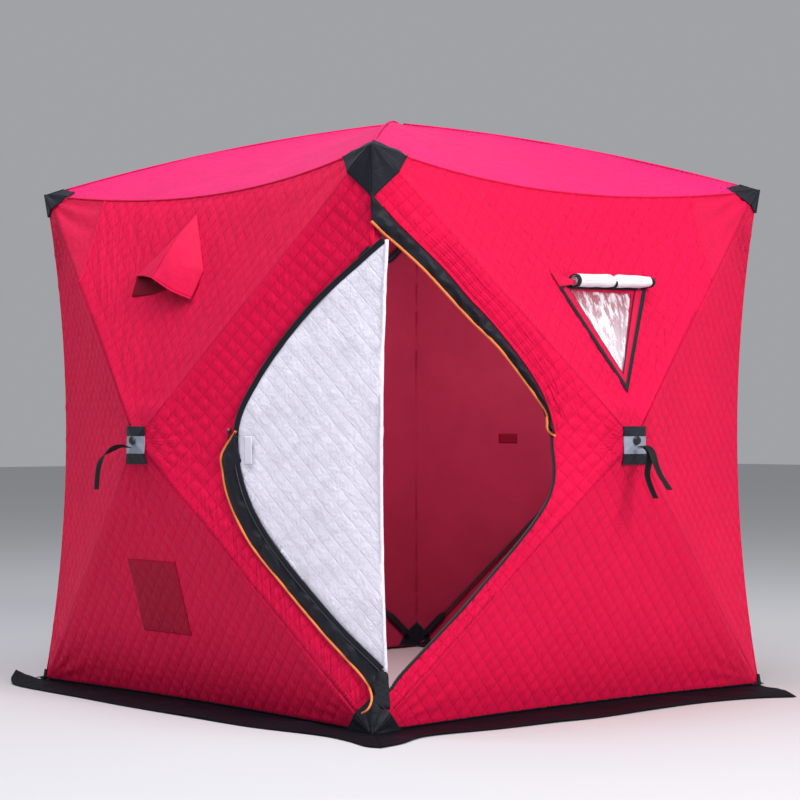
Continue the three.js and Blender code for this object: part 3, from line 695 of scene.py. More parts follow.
def shell_from_cells(points, cells, outer, inner):
    """A closed shell over the used cells: outer face, inner face and rim."""
    used, renumbered = np.unique(cells, return_inverse=True)
    cells = renumbered.reshape(-1, 4)
    count = len(used)
    edges = np.concatenate([cells[:, [0, 1]], cells[:, [1, 2]], cells[:, [2, 3]], cells[:, [3, 0]]])
    key = np.sort(edges, 1)
    _, first, counts = np.unique(key, axis=0, return_index=True, return_counts=True)
    rim = edges[first[counts == 1]]
    faces = np.concatenate([
        cells,
        cells[:, ::-1] + count,
        np.stack([rim[:, 1], rim[:, 0], rim[:, 0] + count, rim[:, 1] + count], 1),
    ])
    places = np.concatenate([outer[used], inner[used]])
    sides = np.concatenate([np.zeros(len(cells)), np.ones(len(cells)), np.zeros(len(rim))])
    uv = np.concatenate([points[used], points[used]])
    return places, faces, uv, sides


def wall_blend(piece, wall, sector):
    """Bakes the piece's placement into its mesh."""
    start = ((-HALF, HUB_H), (0, CORNER_H), (HALF, HUB_H), (0, HEM_H))[sector]
    tuple(wall_point(wall, *start, HUB_OUT))
    tuple(wall_point(wall, 0, HUB_H, HUB_OUT))
    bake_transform(piece)
    return piece


def quilted_wall(wall, cuts):
    """A wall's quilted cloth, one piece for each sector."""
    points, cells, sectors, rim = cloth_region(cuts=cuts)
    u, v = points[:, 0], points[:, 1]
    phase, strength = gathers(wall, u, v)
    plain = in_gusset(wall, u, v)
    smooth = smooth_step((nearest_ridge(points)[1] - 0.008) / 0.016)
    to_corner = np.minimum(*(np.hypot(np.abs(u) - HALF, v - corner_v) for corner_v in (CORNER_H, HEM_H)))
    plump = np.array(SECTOR_PLUMP)[sector_of(u, v)] * smooth_step((to_corner - 0.06) / 0.12)
    quilt = QUILT_DEEP * quilt_height(u, v, wall) * smooth * np.where(plain, 0.1, plump)
    fold = 0.0030 * soft_noise(phase, (u + v) * 0.10, 0.021, 12) * strength
    height = quilt + tension(u, v) * np.where(plain, 2.2, 1) + fold
    height[rim] = 0
    outer = on_wall(wall, u, v, height)
    pucker = 0.0008 * soft_noise(u, v, 0.05, 3)
    inner = wall_point(wall, u, v, wall_out(u, v) - FABRIC + pucker)
    for sector in np.unique(sectors):
        part = cells[sectors == sector]
        places, faces, uv, sides = shell_from_cells(points, part, outer, inner)
        middle = points[part].mean(1)
        sides[:len(part)] = np.where(in_gusset(wall, middle[:, 0], middle[:, 1]), 2, 0)
        folds = np.tile(np.stack([phase, strength], 1)[np.unique(part)], (2, 1))
        piece = finish_mesh(f"fabric_{WALLS[wall]}_{SECTORS[sector]}", places, faces,
                            ("red", "maroon", "red_plain"), uv, sides, folds)
        yield wall_blend(piece, wall, sector)


def on_left_wall(points):
    return np.array([(HALF - a, v) for a, v in points])


def on_right_wall(points):
    return np.array([(a - HALF, v) for a, v in points])


PAST_CORNER = 0.06           # the door's outlines close this far past the corner
VENT_HOLE = 0.62             # the vent's opening, as a share of the hood's foot


def left_door_outline():
    line = spline(on_left_wall(LEFT_ZIP), 120)
    return np.vstack([line, [(HALF + PAST_CORNER, LEFT_ZIP[end][1]) for end in (-1, 0)]])


def right_door_outline():
    line = spline(on_right_wall(RIGHT_EDGE), 120)
    return np.vstack([line, [(-HALF - PAST_CORNER, RIGHT_EDGE[end][1]) for end in (-1, 0)]])


def window_outline():
    return np.array([(WINDOW_MID - WINDOW_HALF, WINDOW_TOP), (WINDOW_MID, WINDOW_FOOT),
                     (WINDOW_MID + WINDOW_HALF, WINDOW_TOP)])


def vent_outline():
    corners = np.array([(-0.040, 1.612), (-0.262, 1.420), (-0.070, 1.378), (0.100, 1.350)])
    middle = corners.mean(0)
    return (corners - middle) * VENT_HOLE + middle


def build_walls():
    cuts = [left_door_outline(), vent_outline()], [right_door_outline(), window_outline()], [], []
    for wall, name in enumerate(WALLS):
        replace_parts(list(quilted_wall(wall, cuts[wall]))[0], f"wall_{name}")


# --------------------------------------------------------------------- roof

def roof_height(x, y):
    """The roof's surface: cones from its peak to the bowed eaves, with bowed poles."""
    x, y = np.broadcast_arrays(np.asarray(x, float), np.asarray(y, float))
    far, near = np.maximum(np.abs(x), np.abs(y)), np.minimum(np.abs(x), np.abs(y))
    ones = np.ones_like(far)
    edge = bisect(lambda e: e * far - near * (HALF - EAVE_PULL * edge_share(e)), 0 * ones, HALF * ones)
    share = far / (HALF - EAVE_PULL * edge_share(edge))
    rim = CORNER_H - EAVE_PULL * edge_share(edge)
    bow = ROOF_BOW * 4 * share * (1 - share)
    return APEX_H * (1 - share) + rim * share + bow


ROOF_STEP = 0.0125
ROOF_SIDES = [(0, -HALF), (HALF, 0), (0, HALF), (-HALF, 0)]


def roof_blend(piece):
    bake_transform(piece)
    return piece


def build_roof():
    count = int(HALF / ROOF_STEP) + 1
    x, y = np.meshgrid(*[np.arange(-count, count + 1) * ROOF_STEP] * 2)
    along = np.linspace(-HALF, HALF, 400)
    edge = np.stack([along, -(HALF - EAVE_PULL * edge_share(along))], 1)[:-1]
    outline = np.vstack([edge @ np.array([[c, s], [-s, c]]) for c, s in ((1, 0), (0, 1), (-1, 0), (0, -1))])
    centre_x, centre_y = ((grid[:-1, :-1] + ROOF_STEP / 2).ravel() for grid in (x, y))
    good = inside(outline, centre_x, centre_y)
    cells = grid_cells(*x.shape)[good]
    centre_x, centre_y = centre_x[good], centre_y[good]
    side = np.where(np.abs(centre_x) > np.abs(centre_y),
                    np.where(centre_x > 0, 1, 3), np.where(centre_y > 0, 2, 0))
    points = np.stack([x.ravel(), y.ravel()], 1)
    rim = rim_of(cells)
    points[rim] = nearest_on(outline, points[rim])[0]
    x, y = points[:, 0], points[:, 1]
    height = roof_height(x, y)
    ripple = 0.0022 * soft_noise(x, y, 0.16, 5) + 0.0010 * soft_noise(x, y, 0.06, 6)
    ripple[rim] = 0
    outer = np.stack([x, y, height + ripple], 1)
    inner = np.stack([x, y, height - 0.004], 1)
    for i, start in enumerate(ROOF_SIDES):
        places, faces, uv, sides = shell_from_cells(points, cells[side == i], outer, inner)
        piece = finish_mesh(f"roof_panel_{WALLS[i]}", places, faces, ("roof", "maroon"), uv, sides)
        roof_blend(piece)
        if i == 0:
            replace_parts(piece, "roof_canopy")


# ------------------------------------------------------------ sheets, tubes

def unit(vectors):
    return vectors / np.maximum(np.linalg.norm(vectors, axis=-1, keepdims=True), 1e-9)


def grid_normals(places):
    return unit(np.cross(np.gradient(places, axis=1), np.gradient(places, axis=0)))


def run_lengths(places):
    """The cloth's own coordinates over a grid: lengths along its rows and columns."""
    across = np.linalg.norm(np.diff(places, axis=1), axis=2).mean(0)
    up = np.linalg.norm(np.diff(places, axis=0), axis=2).mean(1)
    across = np.concatenate([[0], np.cumsum(across)])
    up = np.concatenate([[0], np.cumsum(up)])
    return np.stack(np.meshgrid(across, up), -1)


def grid_sheet(name, places, thick, materials, uv=None):
    """A closed sheet over a grid of points that see their outside with columns to the right."""
    inner = places - thick * grid_normals(places)
    flat = (run_lengths(places) if uv is None else uv).reshape(-1, 2)
    cells = grid_cells(*places.shape[:2])
    places, faces, uv, sides = shell_from_cells(flat, cells, places.reshape(-1, 3), inner.reshape(-1, 3))
    return finish_mesh(name, places, faces, materials, uv, sides * (len(materials) - 1))


def outward(wall):
    return wall_point(wall, 0, 0, 1) - wall_point(wall, 0, 0, 0)


def facing(places, out):
    """A grid of points, its rows turned round if it would face away from `out`."""
    mid = places.shape[1] // 2
    away = np.cross(places[0, mid + 1] - places[0, mid], places[-1, mid] - places[0, mid]) @ out < 0
    return places[::-1] if away else places


def tube(name, line, radius, materials, sides=10):
    """A closed tube along a line, with a radius for the whole of it or for each point."""
    line = np.asarray(line, float)
    radius = np.broadcast_to(radius, len(line))
    ahead = unit(np.gradient(line, axis=0))
    first = np.cross(ahead[0], (0, 0, 1) if abs(ahead[0][2]) < 0.9 else (1, 0, 0))
    side = [first / np.linalg.norm(first)]
    for step in ahead[1:]:
        turned = side[-1] - step * (side[-1] @ step)
        side.append(turned / np.linalg.norm(turned))
    side = np.array(side)
    up = np.cross(ahead, side)
    angle = np.linspace(0, 2 * np.pi, sides, endpoint=False)
    ring = side[:, None] * np.cos(angle)[:, None] + up[:, None] * np.sin(angle)[:, None]
    points = (line[:, None] + ring * radius[:, None, None]).reshape(-1, 3)
    faces = [(i + j, i + (j + 1) % sides, i + sides + (j + 1) % sides, i + sides + j)
             for i in range(0, (len(line) - 1) * sides, sides) for j in range(sides)]
    faces.append(tuple(reversed(range(sides))))
    faces.append(tuple(range((len(line) - 1) * sides, len(line) * sides)))
    run = np.concatenate([[0], np.cumsum(np.linalg.norm(np.diff(line, axis=0), axis=1))])
    uv = np.stack(np.broadcast_arrays((angle * radius.mean())[None], run[:, None]), -1).reshape(-1, 2)
    return finish_mesh(name, points, faces, materials, uv)


def mix(a, b, t):
    a, b = np.asarray(a, float), np.asarray(b, float)
    t = np.asarray(t)[..., None]
    return a * (1 - t) + b * t


def on_wall(wall, u, v, lift):
    """World points that stand `lift` off the wall's fabric."""
    normal = wall_normal(u, v)
    return wall_point(wall, u + normal[..., 0] * lift, v + normal[..., 1] * lift,
                      wall_out(u, v) + normal[..., 2] * lift)


def strip_between(one, other, count=8):
    """A grid of u and v between two lines, rows from one to the other."""
    one, other = np.asarray(one, float), np.asarray(other, float)
    share = np.linspace(0, 1, count)[:, None, None]
    return one[None] * (1 - share) + other[None] * share


# --------------------------------------------------------------------- boots

BOOT_CLOTH = 0.003
BOOT_LIFT = 0.005
DOOR_TOP = 1.55              # where the door's opening begins on its corner
POCKET_LIFT = -0.0075        # the pockets behind the boots, inside the wall
# how far each boot reaches along the eave or hem, the ridge and the corner edge
TOP_BOOTS = {"door": (0.155, 0.082, 0.153), "other": (0.112, 0.060, 0.078)}
LOW_BOOTS = {"door": (0.112, 0.058, 0.106), "other": (0.040, 0.020, 0.036)}


def boot_panel(name, wall, sign, sector, corner, a, b, seed, base):
    """One sewn panel of a boot, from its corner to the edge between a and b."""
    t, s = np.meshgrid(np.linspace(0, 1, 15), np.linspace(0.015, 1, 14))
    edge = mix(a, b, t)
    flat = np.asarray(corner) * (1 - s[..., None]) + edge * s[..., None]
    u, v = flat[..., 0], flat[..., 1]
    v = np.clip(v, hem_height(u), eave_height(u))
    u = np.clip(u, 0, HALF - side_bow(v))
    fold = 0.0016 * np.sin(t * 9 + seed) * np.sin(np.pi * s) + 0.0008 * soft_noise(u, v, 0.02, seed)
    seam = 0.0018 * bell(s - 0.93, 0.025)
    welt = 0.0022 * (bell(t, 0.07) + bell(1 - t, 0.07))
    lift = base + fold - seam + welt
    places = on_wall(wall, sign * u, v, lift)
    facing_way = np.cross(places[0, -1] - places[-1, 0], places[-1, -1] - places[-1, 0])
    out = outward(wall)
    places = places[:, ::-1] if facing_way @ out < 0 else places
    if np.cross(places[-1, -1] - places[-1, 0], places[0, 7] - places[-1, 7]) @ out < 0:
        places = places[:, ::-1]
    return wall_blend(grid_sheet(name, places, BOOT_CLOTH, ("black",)), wall, sector)


def boot_size(table, corner):
    return table.get(corner, table["other"])


def roof_boot_panel(name, panel, corner, along, edge, seed):
    """The part of a top boot that turns over the eave onto the roof."""
    cx, cy = corner
    t, s = np.meshgrid(np.linspace(0, 1, 12), np.linspace(0.0, 1, 5))
    reach = edge * t
    deep = (0.030 + 0.012 * (1 - t)) * s
    inward = EAVE_PULL * edge_share(HALF - reach)
    away = HALF - inward - deep
    # no further along than the roof's ridge
    onward = np.minimum(HALF - reach, np.abs(away))
    x, y = (cx * onward, cy * away) if along == "x" else (cx * away, cy * onward)
    z = roof_height(x, y) + BOOT_LIFT + 0.0012 * np.sin(t * 14 + seed) * s
    places = np.stack([x, y, z], -1)
    if np.cross(places[0, -1] - places[0, 0], places[-1, 5] - places[0, 5])[2] < 0:
        places = places[:, ::-1]
    roof_blend(grid_sheet(name, places, BOOT_CLOTH, ("black",)))


# each corner's two walls, as wall, which end of it, and the roof edge's direction
CORNER_WALLS = {
    "door": [(0, 1, "x"), (1, -1, "y")],
    "right": [(1, 1, "y"), (2, -1, "x")],
    "back": [(2, 1, "x"), (3, -1, "y")],
    "left": [(3, 1, "y"), (0, -1, "x")],
}


def boot_parts(reach, ridge_reach, up, top, side):
    """The two panels of a boot on one wall: label, sector and the two ends of the outer edge."""
    corner_v = CORNER_H if top else HEM_H
    edge, end = HALF - reach, corner_v - up if top else corner_v + up
    ridge = (HALF - ridge_reach, corner_v + (HUB_H - corner_v) * ridge_reach / HALF)
    label, sector, edge_v = ("top", 1, eave_height(edge)) if top else ("low", 3, hem_height(edge))
    return [(label, sector, (edge, float(edge_v)), ridge),
            ("side", side, ridge, (HALF - float(side_bow(end)), end))]


def build_boots():
    """The boots outside each corner, and the pockets inside the bottom ones that the pole ends sit in."""
    for c, (name, walls) in enumerate(CORNER_WALLS.items()):
        for w, (wall, sign, along) in enumerate(walls):
            seed = c * 4 + w
            side = 2 if sign > 0 else 0
            kinds = [("boot_top", boot_size(TOP_BOOTS, name), BOOT_LIFT, f"top_boot_{name}"),
                     ("boot_low", boot_size(LOW_BOOTS, name), BOOT_LIFT, f"bottom_boot_{name}"),
                     ("pole_pocket", LOW_BOOTS["door"], POCKET_LIFT, None)]
            for kind, sizes, lift, node in kinds:
                top = kind == "boot_top"
                corner = (HALF, CORNER_H if top else HEM_H)
                for label, sector, a, b in boot_parts(*sizes, top, side):
                    piece = boot_panel(f"{kind}_{name}_{wall}_{label}", wall, sign, sector, corner, a, b, seed,
                                       lift)
                    if w == 0 and label != "side" and node:
                        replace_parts(piece, node)
                if top:
                    roof_boot_panel(f"{kind}_{name}_{wall}_roof", wall, CORNERS[name], along, sizes[0], seed)


# ------------------------------------------------------------- seams, edges

def build_seams():
    for name, (cx, cy) in CORNERS.items():
        top_foot = CORNER_H - boot_size(TOP_BOOTS, name)[2]
        low_head = HEM_H + boot_size(LOW_BOOTS, name)[2]
        # the door's corner is bound in black down to the storm flap
        black_foot = DOOR_TOP if name == "door" else top_foot
        spans = [("top", black_foot, CORNER_H + 0.004, "black"), ("low", HEM_H, low_head, "black")]
        if name != "door":
            spans.append(("side", low_head, top_foot, "red_plain"))
        for label, low, high, cloth in spans:
            proud, radius = (0.003, 0.0060) if cloth == "black" else (-0.001, 0.0042)
            v = np.linspace(low, high, 40)
            place = HALF - side_bow(v) + proud
            line = np.stack([cx * place, cy * place, v], 1)
            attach(tube(f"corner_welt_{name}_{label}", line, radius, (cloth,), 8), "shell")
    along_eave, along_hem = (np.linspace(-HALF + reach, HALF - reach, 70)
                             for reach in (TOP_BOOTS["other"][0], LOW_BOOTS["other"][0]))
    for wall, name in enumerate(WALLS):
        bow = EAVE_PULL * edge_share(along_eave)
        line = wall_point(wall, along_eave, CORNER_H - bow + 0.001, -bow)
        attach(tube(f"eave_welt_{name}", line, 0.0035, ("red_plain",), 8), "shell")
        for label, sign in (("left", -1), ("right", 1)):
            seam = mix(GUSSET_EAVE, GUSSET_RIDGE, np.linspace(0, 1, 24)) * (sign, 1)
            seam[:, 1] = np.minimum(seam[:, 1], eave_height(seam[:, 0]) - 0.002)
            if in_gusset(wall, np.array([sign * 0.7]), np.array([1.65]))[0]:
                wall_tube(f"gusset_seam_{name}_{label}", wall, 1, seam, 0.0005, 0.0026, "red_plain")
        bow = HEM_LIFT * edge_share(along_hem)
        line = wall_point(wall, along_hem, HEM_H + bow + 0.003, -bow + 0.001)
        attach(tube(f"hem_binding_{name}", line, 0.0045, ("skirt",), 8), "shell")


def build_roof_seams():
    along = np.linspace(0.012, HALF - 0.05, 60)
    for name, (cx, cy) in CORNERS.items():
        line = np.stack([cx * along, cy * along, roof_height(along, along) + 0.0008], 1)
        roof_blend(tube(f"roof_seam_{name}", line, 0.0030, ("roof",), 8))


# -------------------------------------------------------------------- skirts

# outer edge of each skirt from its left end: along the wall, out from it, height
SKIRT_EDGES = {
    "front_left": [(-1.030, .045, .030), (-.93, .125, .008), (-.79, .166, .001), (-.40, .176, .004),
                   (-.10, .184, .001), (.25, .180, .006), (.53, .172, .001), (.80, .128, .004),
                   (.94, .135, .002), (1.06, .164, .002), (1.112, .150, .004)],
    "front_right": [(-1.050, .212, .004), (-.95, .192, .002), (-.79, .134, .004), (-.53, .165, .001),
                    (-.30, .180, .005), (-.128, .195, .001), (.15, .182, .005), (.386, .176, .001),
                    (.60, .215, .003), (.745, .285, .001)],
    "back_right": [(-.900, .030, .003), (-.86, .055, .003), (-.76, .140, .002), (-.60, .175, .003),
                   (-.40, .186, .006), (0, .176, .001), (.40, .188, .005), (.80, .176, .001),
                   (1.04, .160, .006)],
    "back_left": [(-1.04, .150, .004), (-.80, .180, .001), (-.45, .172, .006), (0, .184, .001),
                  (.35, .178, .005), (.75, .140, .002), (.905, .055, .006)],
}


def build_skirts():
    u = np.linspace(-HALF, HALF, 150)
    inner = np.stack([u, -HEM_LIFT * edge_share(u) + 0.002, hem_height(u)], 1)
    for wall, name in enumerate(WALLS):
        outer = spline(SKIRT_EDGES[name], 150)
        s = np.linspace(0, 1, 22)[:, None, None] ** 1.15
        grid = inner[None] * (1 - s) + outer[None] * s
        s = s[..., 0]
        out = grid[..., 1]
        drop = smooth_step(out / 0.040)
        base = inner[None, :, 2] * (1 - drop) + (0.0032 + outer[None, :, 2] * s**2) * drop
        swell = 0.5 + 0.5 * soft_noise(grid[..., 0], grid[..., 1] * 0.5, 0.13, wall + 11)
        ripple = 0.5 + 0.5 * soft_noise(grid[..., 0], grid[..., 1] * 0.7, 0.034, wall + 21)
        wave = (0.014 * swell**2 + 0.0050 * ripple) * np.sin(np.pi * np.clip(s * 1.05, 0, 1)) ** 0.7
        hem = 0.0016 * bell((1 - s) * 0.18 - 0.008, 0.004)
        places = wall_point(wall, grid[..., 0], base + wave * drop + hem, out)[::-1]
        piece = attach(grid_sheet(f"skirt_{name}", places, 0.0022, ("skirt",)), "shell")
        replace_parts(piece, f"snow_skirt_{name}")


# --------------------------------------------------------------------- poles

POLE_INSET, ROOF_INSET, PIVOT = 0.028, 0.036, 0.030
TIP_SETBACK, ROOF_TIP_SETBACK = 0.090, 0.104
FERRULE, SLEEVE = 0.07, 0.13     # lengths of the metal and cloth ends of a pole


def rod(name, start, end, node, blend_start, blend_end, bow=(0, 0, 0)):
    """A flexible pole from its hub to its corner: ferrule, rod and end sleeve."""
    start, end = np.asarray(start, float), np.asarray(end, float)
    length = np.linalg.norm(end - start)
    knots = [.0695, FERRULE, .5, length - SLEEVE - 0.001, length - SLEEVE, length - 0.004]
    run = np.unique(np.concatenate([np.linspace(0, length, 44), knots]))
    t = run / length
    line = start + (end - start) * t[:, None] + np.asarray(bow) * (4 * t * (1 - t))[:, None]
    radius = np.where(run < FERRULE, 0.008, np.where(run > length - SLEEVE, 0.0140, 0.0055))
    radius[-1] = 0.009
    piece = tube(name, line, radius, ("rod", "black", "metal"), 12)
    middle = np.array([f.center for f in piece.data.polygons])
    way = np.linalg.norm(middle - start, axis=1)
    kind = np.where(way > length - SLEEVE - 0.001, 1, np.where(way < FERRULE, 2, 0))
    piece.data.polygons.foreach_set("material_index", kind.astype(np.int32))
    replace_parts(piece, node)
    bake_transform(piece)


def build_poles():
    for wall, name in enumerate(WALLS):
        for label, u, v in (("top_left", -HALF, CORNER_H), ("top_right", HALF, CORNER_H),
                            ("bottom_left", -HALF, 0), ("bottom_right", HALF, 0)):
            far = np.array([u, v - HUB_H])
            reach = np.linalg.norm(far)
            near = far / reach * PIVOT
            slope = HUB_OUT / (reach - PIVOT)
            stop = far * (1 - TIP_SETBACK / reach)
            w = HUB_OUT - POLE_INSET
            start = wall_point(wall, near[0], HUB_H + near[1], w)
            end = wall_point(wall, stop[0], HUB_H + stop[1], w - slope * (reach - TIP_SETBACK - PIVOT))
            rod(f"rod_{name}_{label}", start, end, f"pole_{name}_{label}",
                wall_point(wall, u, v, 0), wall_point(wall, 0, HUB_H, HUB_OUT))
    rise = APEX_H - CORNER_H
    for label, (cx, cy) in CORNERS.items():
        reach = HALF * math.sqrt(2)
        way = np.array([cx, cy, 0]) / math.sqrt(2)
        top = APEX_H - ROOF_INSET
        start = way * PIVOT + (0, 0, top)
        span = reach - ROOF_TIP_SETBACK
        end = way * span + (0, 0, top - rise * (span - PIVOT) / (reach - PIVOT))
        rod(f"rod_roof_{label}", start, end, f"pole_roof_{label}",
            (cx * HALF, cy * HALF, CORNER_H), (0, 0, APEX_H), bow=(0, 0, ROOF_BOW * 0.8))


# ------------------------------------------------------------ patches, straps

PATCH_WIDE, PATCH_TALL = 0.056, 0.061
PATCH_MIDDLE = HUB_H - 0.016
PATCH_ASIDE = [-0.012, 0.012, 0, 0]


def build_patches():
    for wall, name in enumerate(WALLS):
        aside = PATCH_ASIDE[wall]
        u, v = np.meshgrid(np.linspace(-PATCH_WIDE, PATCH_WIDE, 39) + aside,
                           np.linspace(PATCH_MIDDLE - PATCH_TALL, PATCH_MIDDLE + PATCH_TALL, 47))
        rim = np.minimum(PATCH_WIDE - np.abs(u - aside), PATCH_TALL - np.abs(v - PATCH_MIDDLE))
        stitch = 0.0010 * bell(rim - 0.006, 0.0018)
        wrinkle = 0.0012 * soft_noise(u, v, 0.016, wall)
        places = wall_point(wall, u, v, wall_out(u, v) + 0.0075 + wrinkle - stitch)
        piece = grid_sheet(f"patch_{name}", places, 0.0025, ("black", "silver_patch"))
        height = np.array([f.center[2] for f in piece.data.polygons])
        band = (height > PATCH_MIDDLE - 0.027) & (height < PATCH_MIDDLE + 0.028)
        piece.data.polygons.foreach_set("material_index", band.astype(np.int32))
        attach(piece, f"hub_{name}_body")
        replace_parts(piece, f"hub_patch_{name}")


# routes of the straps from their hub button, as distance out of the wall's corner plane, and height
STRAP_ROUTE = [(.247, .845), (.282, .850), (.317, .842), (.347, .823), (.364, .795), (.371, .759),
               (.375, .715)]
TAIL_ROUTES = [
    [(.247, .845), (.275, .846), (.291, .832), (.287, .798), (.281, .761), (.296, .722), (.316, .688)],
    [(.247, .849), (.277, .851), (.299, .835), (.315, .799), (.333, .765), (.353, .741), (.374, .716)],
]


def strap(name, wall, route, twist):
    """Flat webbing along a route of w and v, turned about its length by `twist`."""
    path = spline(route, 60)
    w, v = path[:, 0], path[:, 1]
    ahead = unit(np.gradient(path, axis=0))
    share = np.linspace(0, 1, len(path))
    turn = twist * np.sin(np.pi * np.clip(share * 1.6, 0, 1)) ** 2
    half = 0.0125 - 0.0060 * bell(share, 0.10)
    lanes = np.linspace(-1, 1, 9)
    cos, sin = np.cos(turn)[:, None], np.sin(turn)[:, None]
    u = lanes[None] * half[:, None] * cos
    across = lanes[None] * half[:, None] * sin
    cup = 0.0007 * (1 - lanes[None] ** 2)
    w = w[:, None] - ahead[:, 1:2] * (across + cup)
    v = v[:, None] + ahead[:, 0:1] * (across + cup)
    places = wall_point(wall, u, v, w)
    piece = grid_sheet(name, places, 0.0018, ("webbing",))
    line = wall_point(wall, np.zeros(len(path)), path[:, 1], path[:, 0])
    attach(piece, f"hub_{WALLS[wall]}_body")
    return piece


def build_straps():
    for wall, name in enumerate(WALLS):
        if name == "front_right":
            pieces = [strap(f"strap_{name}_{i}", wall, route, 0.25) for i, route in enumerate(TAIL_ROUTES)]
        else:
            pieces = [strap(f"strap_{name}", wall, STRAP_ROUTE, 0.9)]
        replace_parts(pieces[0], f"pull_strap_{name}")


# ---------------------------------------------------------------------- door

def offset_line(line, distance):
    """The line moved sideways: to its left for a positive distance."""
    ahead = unit(np.gradient(line, axis=0))
    return line + distance * np.stack([-ahead[:, 1], ahead[:, 0]], 1)


def wall_strip(name, wall, sector, one, other, lift, thick, material, rows=7, bulge=0.0, ruffle=0.0):
    """A band of cloth on a wall between two lines in u and v."""
    grid = strip_between(one, other, rows)
    u, v = grid[..., 0], grid[..., 1]
    swell = np.sin(np.pi * np.linspace(0, 1, rows)[:, None])
    base = lift(v) if callable(lift) else lift
    height = base + bulge * swell + ruffle * soft_noise(u, v, 0.03, 4) * swell
    places = facing(on_wall(wall, u, v, height), outward(wall))
    return wall_blend(grid_sheet(name, places, thick, (material,)), wall, sector)


def wall_tube(name, wall, sector, line, lift, radius, material):
    wall_blend(tube(name, on_wall(wall, line[:, 0], line[:, 1], lift), radius, (material,), 8), wall, sector)


def build_fixed_half():
    """The half of the door that stays zipped to the left wall, and its turn round the corner."""
    zipped = left_door_outline()
    points, cells, _, rim = cloth_region(keep=zipped)
    spots, miss = nearest_on(zipped, points[rim])
    close = miss < STEP * 1.6
    points[rim[close]] = spots[close]
    u, v = points[:, 0], points[:, 1]
    outer = on_wall(0, u, v, QUILT_DEEP * quilt_height(u, v, 5) - 0.004)
    inner = on_wall(0, u, v, -0.009 + 0 * u)
    places, faces, uv, sides = shell_from_cells(points, cells, outer, inner)
    piece = finish_mesh("door_fixed_panel", places, faces, ("red", "silver"), uv, sides, folds=0 * uv)
    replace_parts(wall_blend(piece, 0, 2), "door_fixed_half")
    # from the corner to the fold line
    v = np.linspace(LEAF_EDGE[-1][1] + 0.004, LEAF_EDGE[0][1] - 0.012, 110)
    side = HALF - side_bow(v)
    corner = np.stack([side - 0.003, -side + 0.003, v], 1)
    fold = np.stack([np.full(len(v), LEAF_AXIS[0] - 0.002), np.full(len(v), LEAF_AXIS[1]), v], 1)
    share = np.linspace(0, 1, 8)[:, None]
    sway = 0.004 * np.sin(np.pi * share) * soft_noise(v, 0 * v, 0.08, 2)
    places = strip_between(corner, fold) + sway[..., None] * np.array([0.3, -0.95, 0])
    piece = grid_sheet("door_fold", places[::-1].transpose(1, 0, 2)[:, ::-1], 0.004, ("silver", "red"))
    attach(piece, "shell")


def leaf_place(s, z, out):
    """World points of the folded half, `out` in front of its own plane."""
    s, z, out = np.broadcast_arrays(*(np.asarray(value, float) for value in (s, z, out)))
    slack = 0.020 * np.clip(np.abs(z - 0.80) / 0.65, 0, 1) ** 2
    s = s - slack * bell(s, 0.22)
    x = LEAF_AXIS[0] + s * math.cos(LEAF_DIR) - out * math.sin(LEAF_DIR)
    y = LEAF_AXIS[1] + s * math.sin(LEAF_DIR) + out * math.cos(LEAF_DIR)
    return np.stack([x, y, z + 0 * x], -1)


ZIP_COIL = 0.0022


def leaf_belly(s, z):
    """How far the folded half sags out of its plane between the fold and the zip."""
    return 0.010 * np.sin(np.pi * np.clip(s / 0.56, 0, 1)) * np.sin(np.pi * np.clip((z - 0.2) / 1.25, 0, 1))


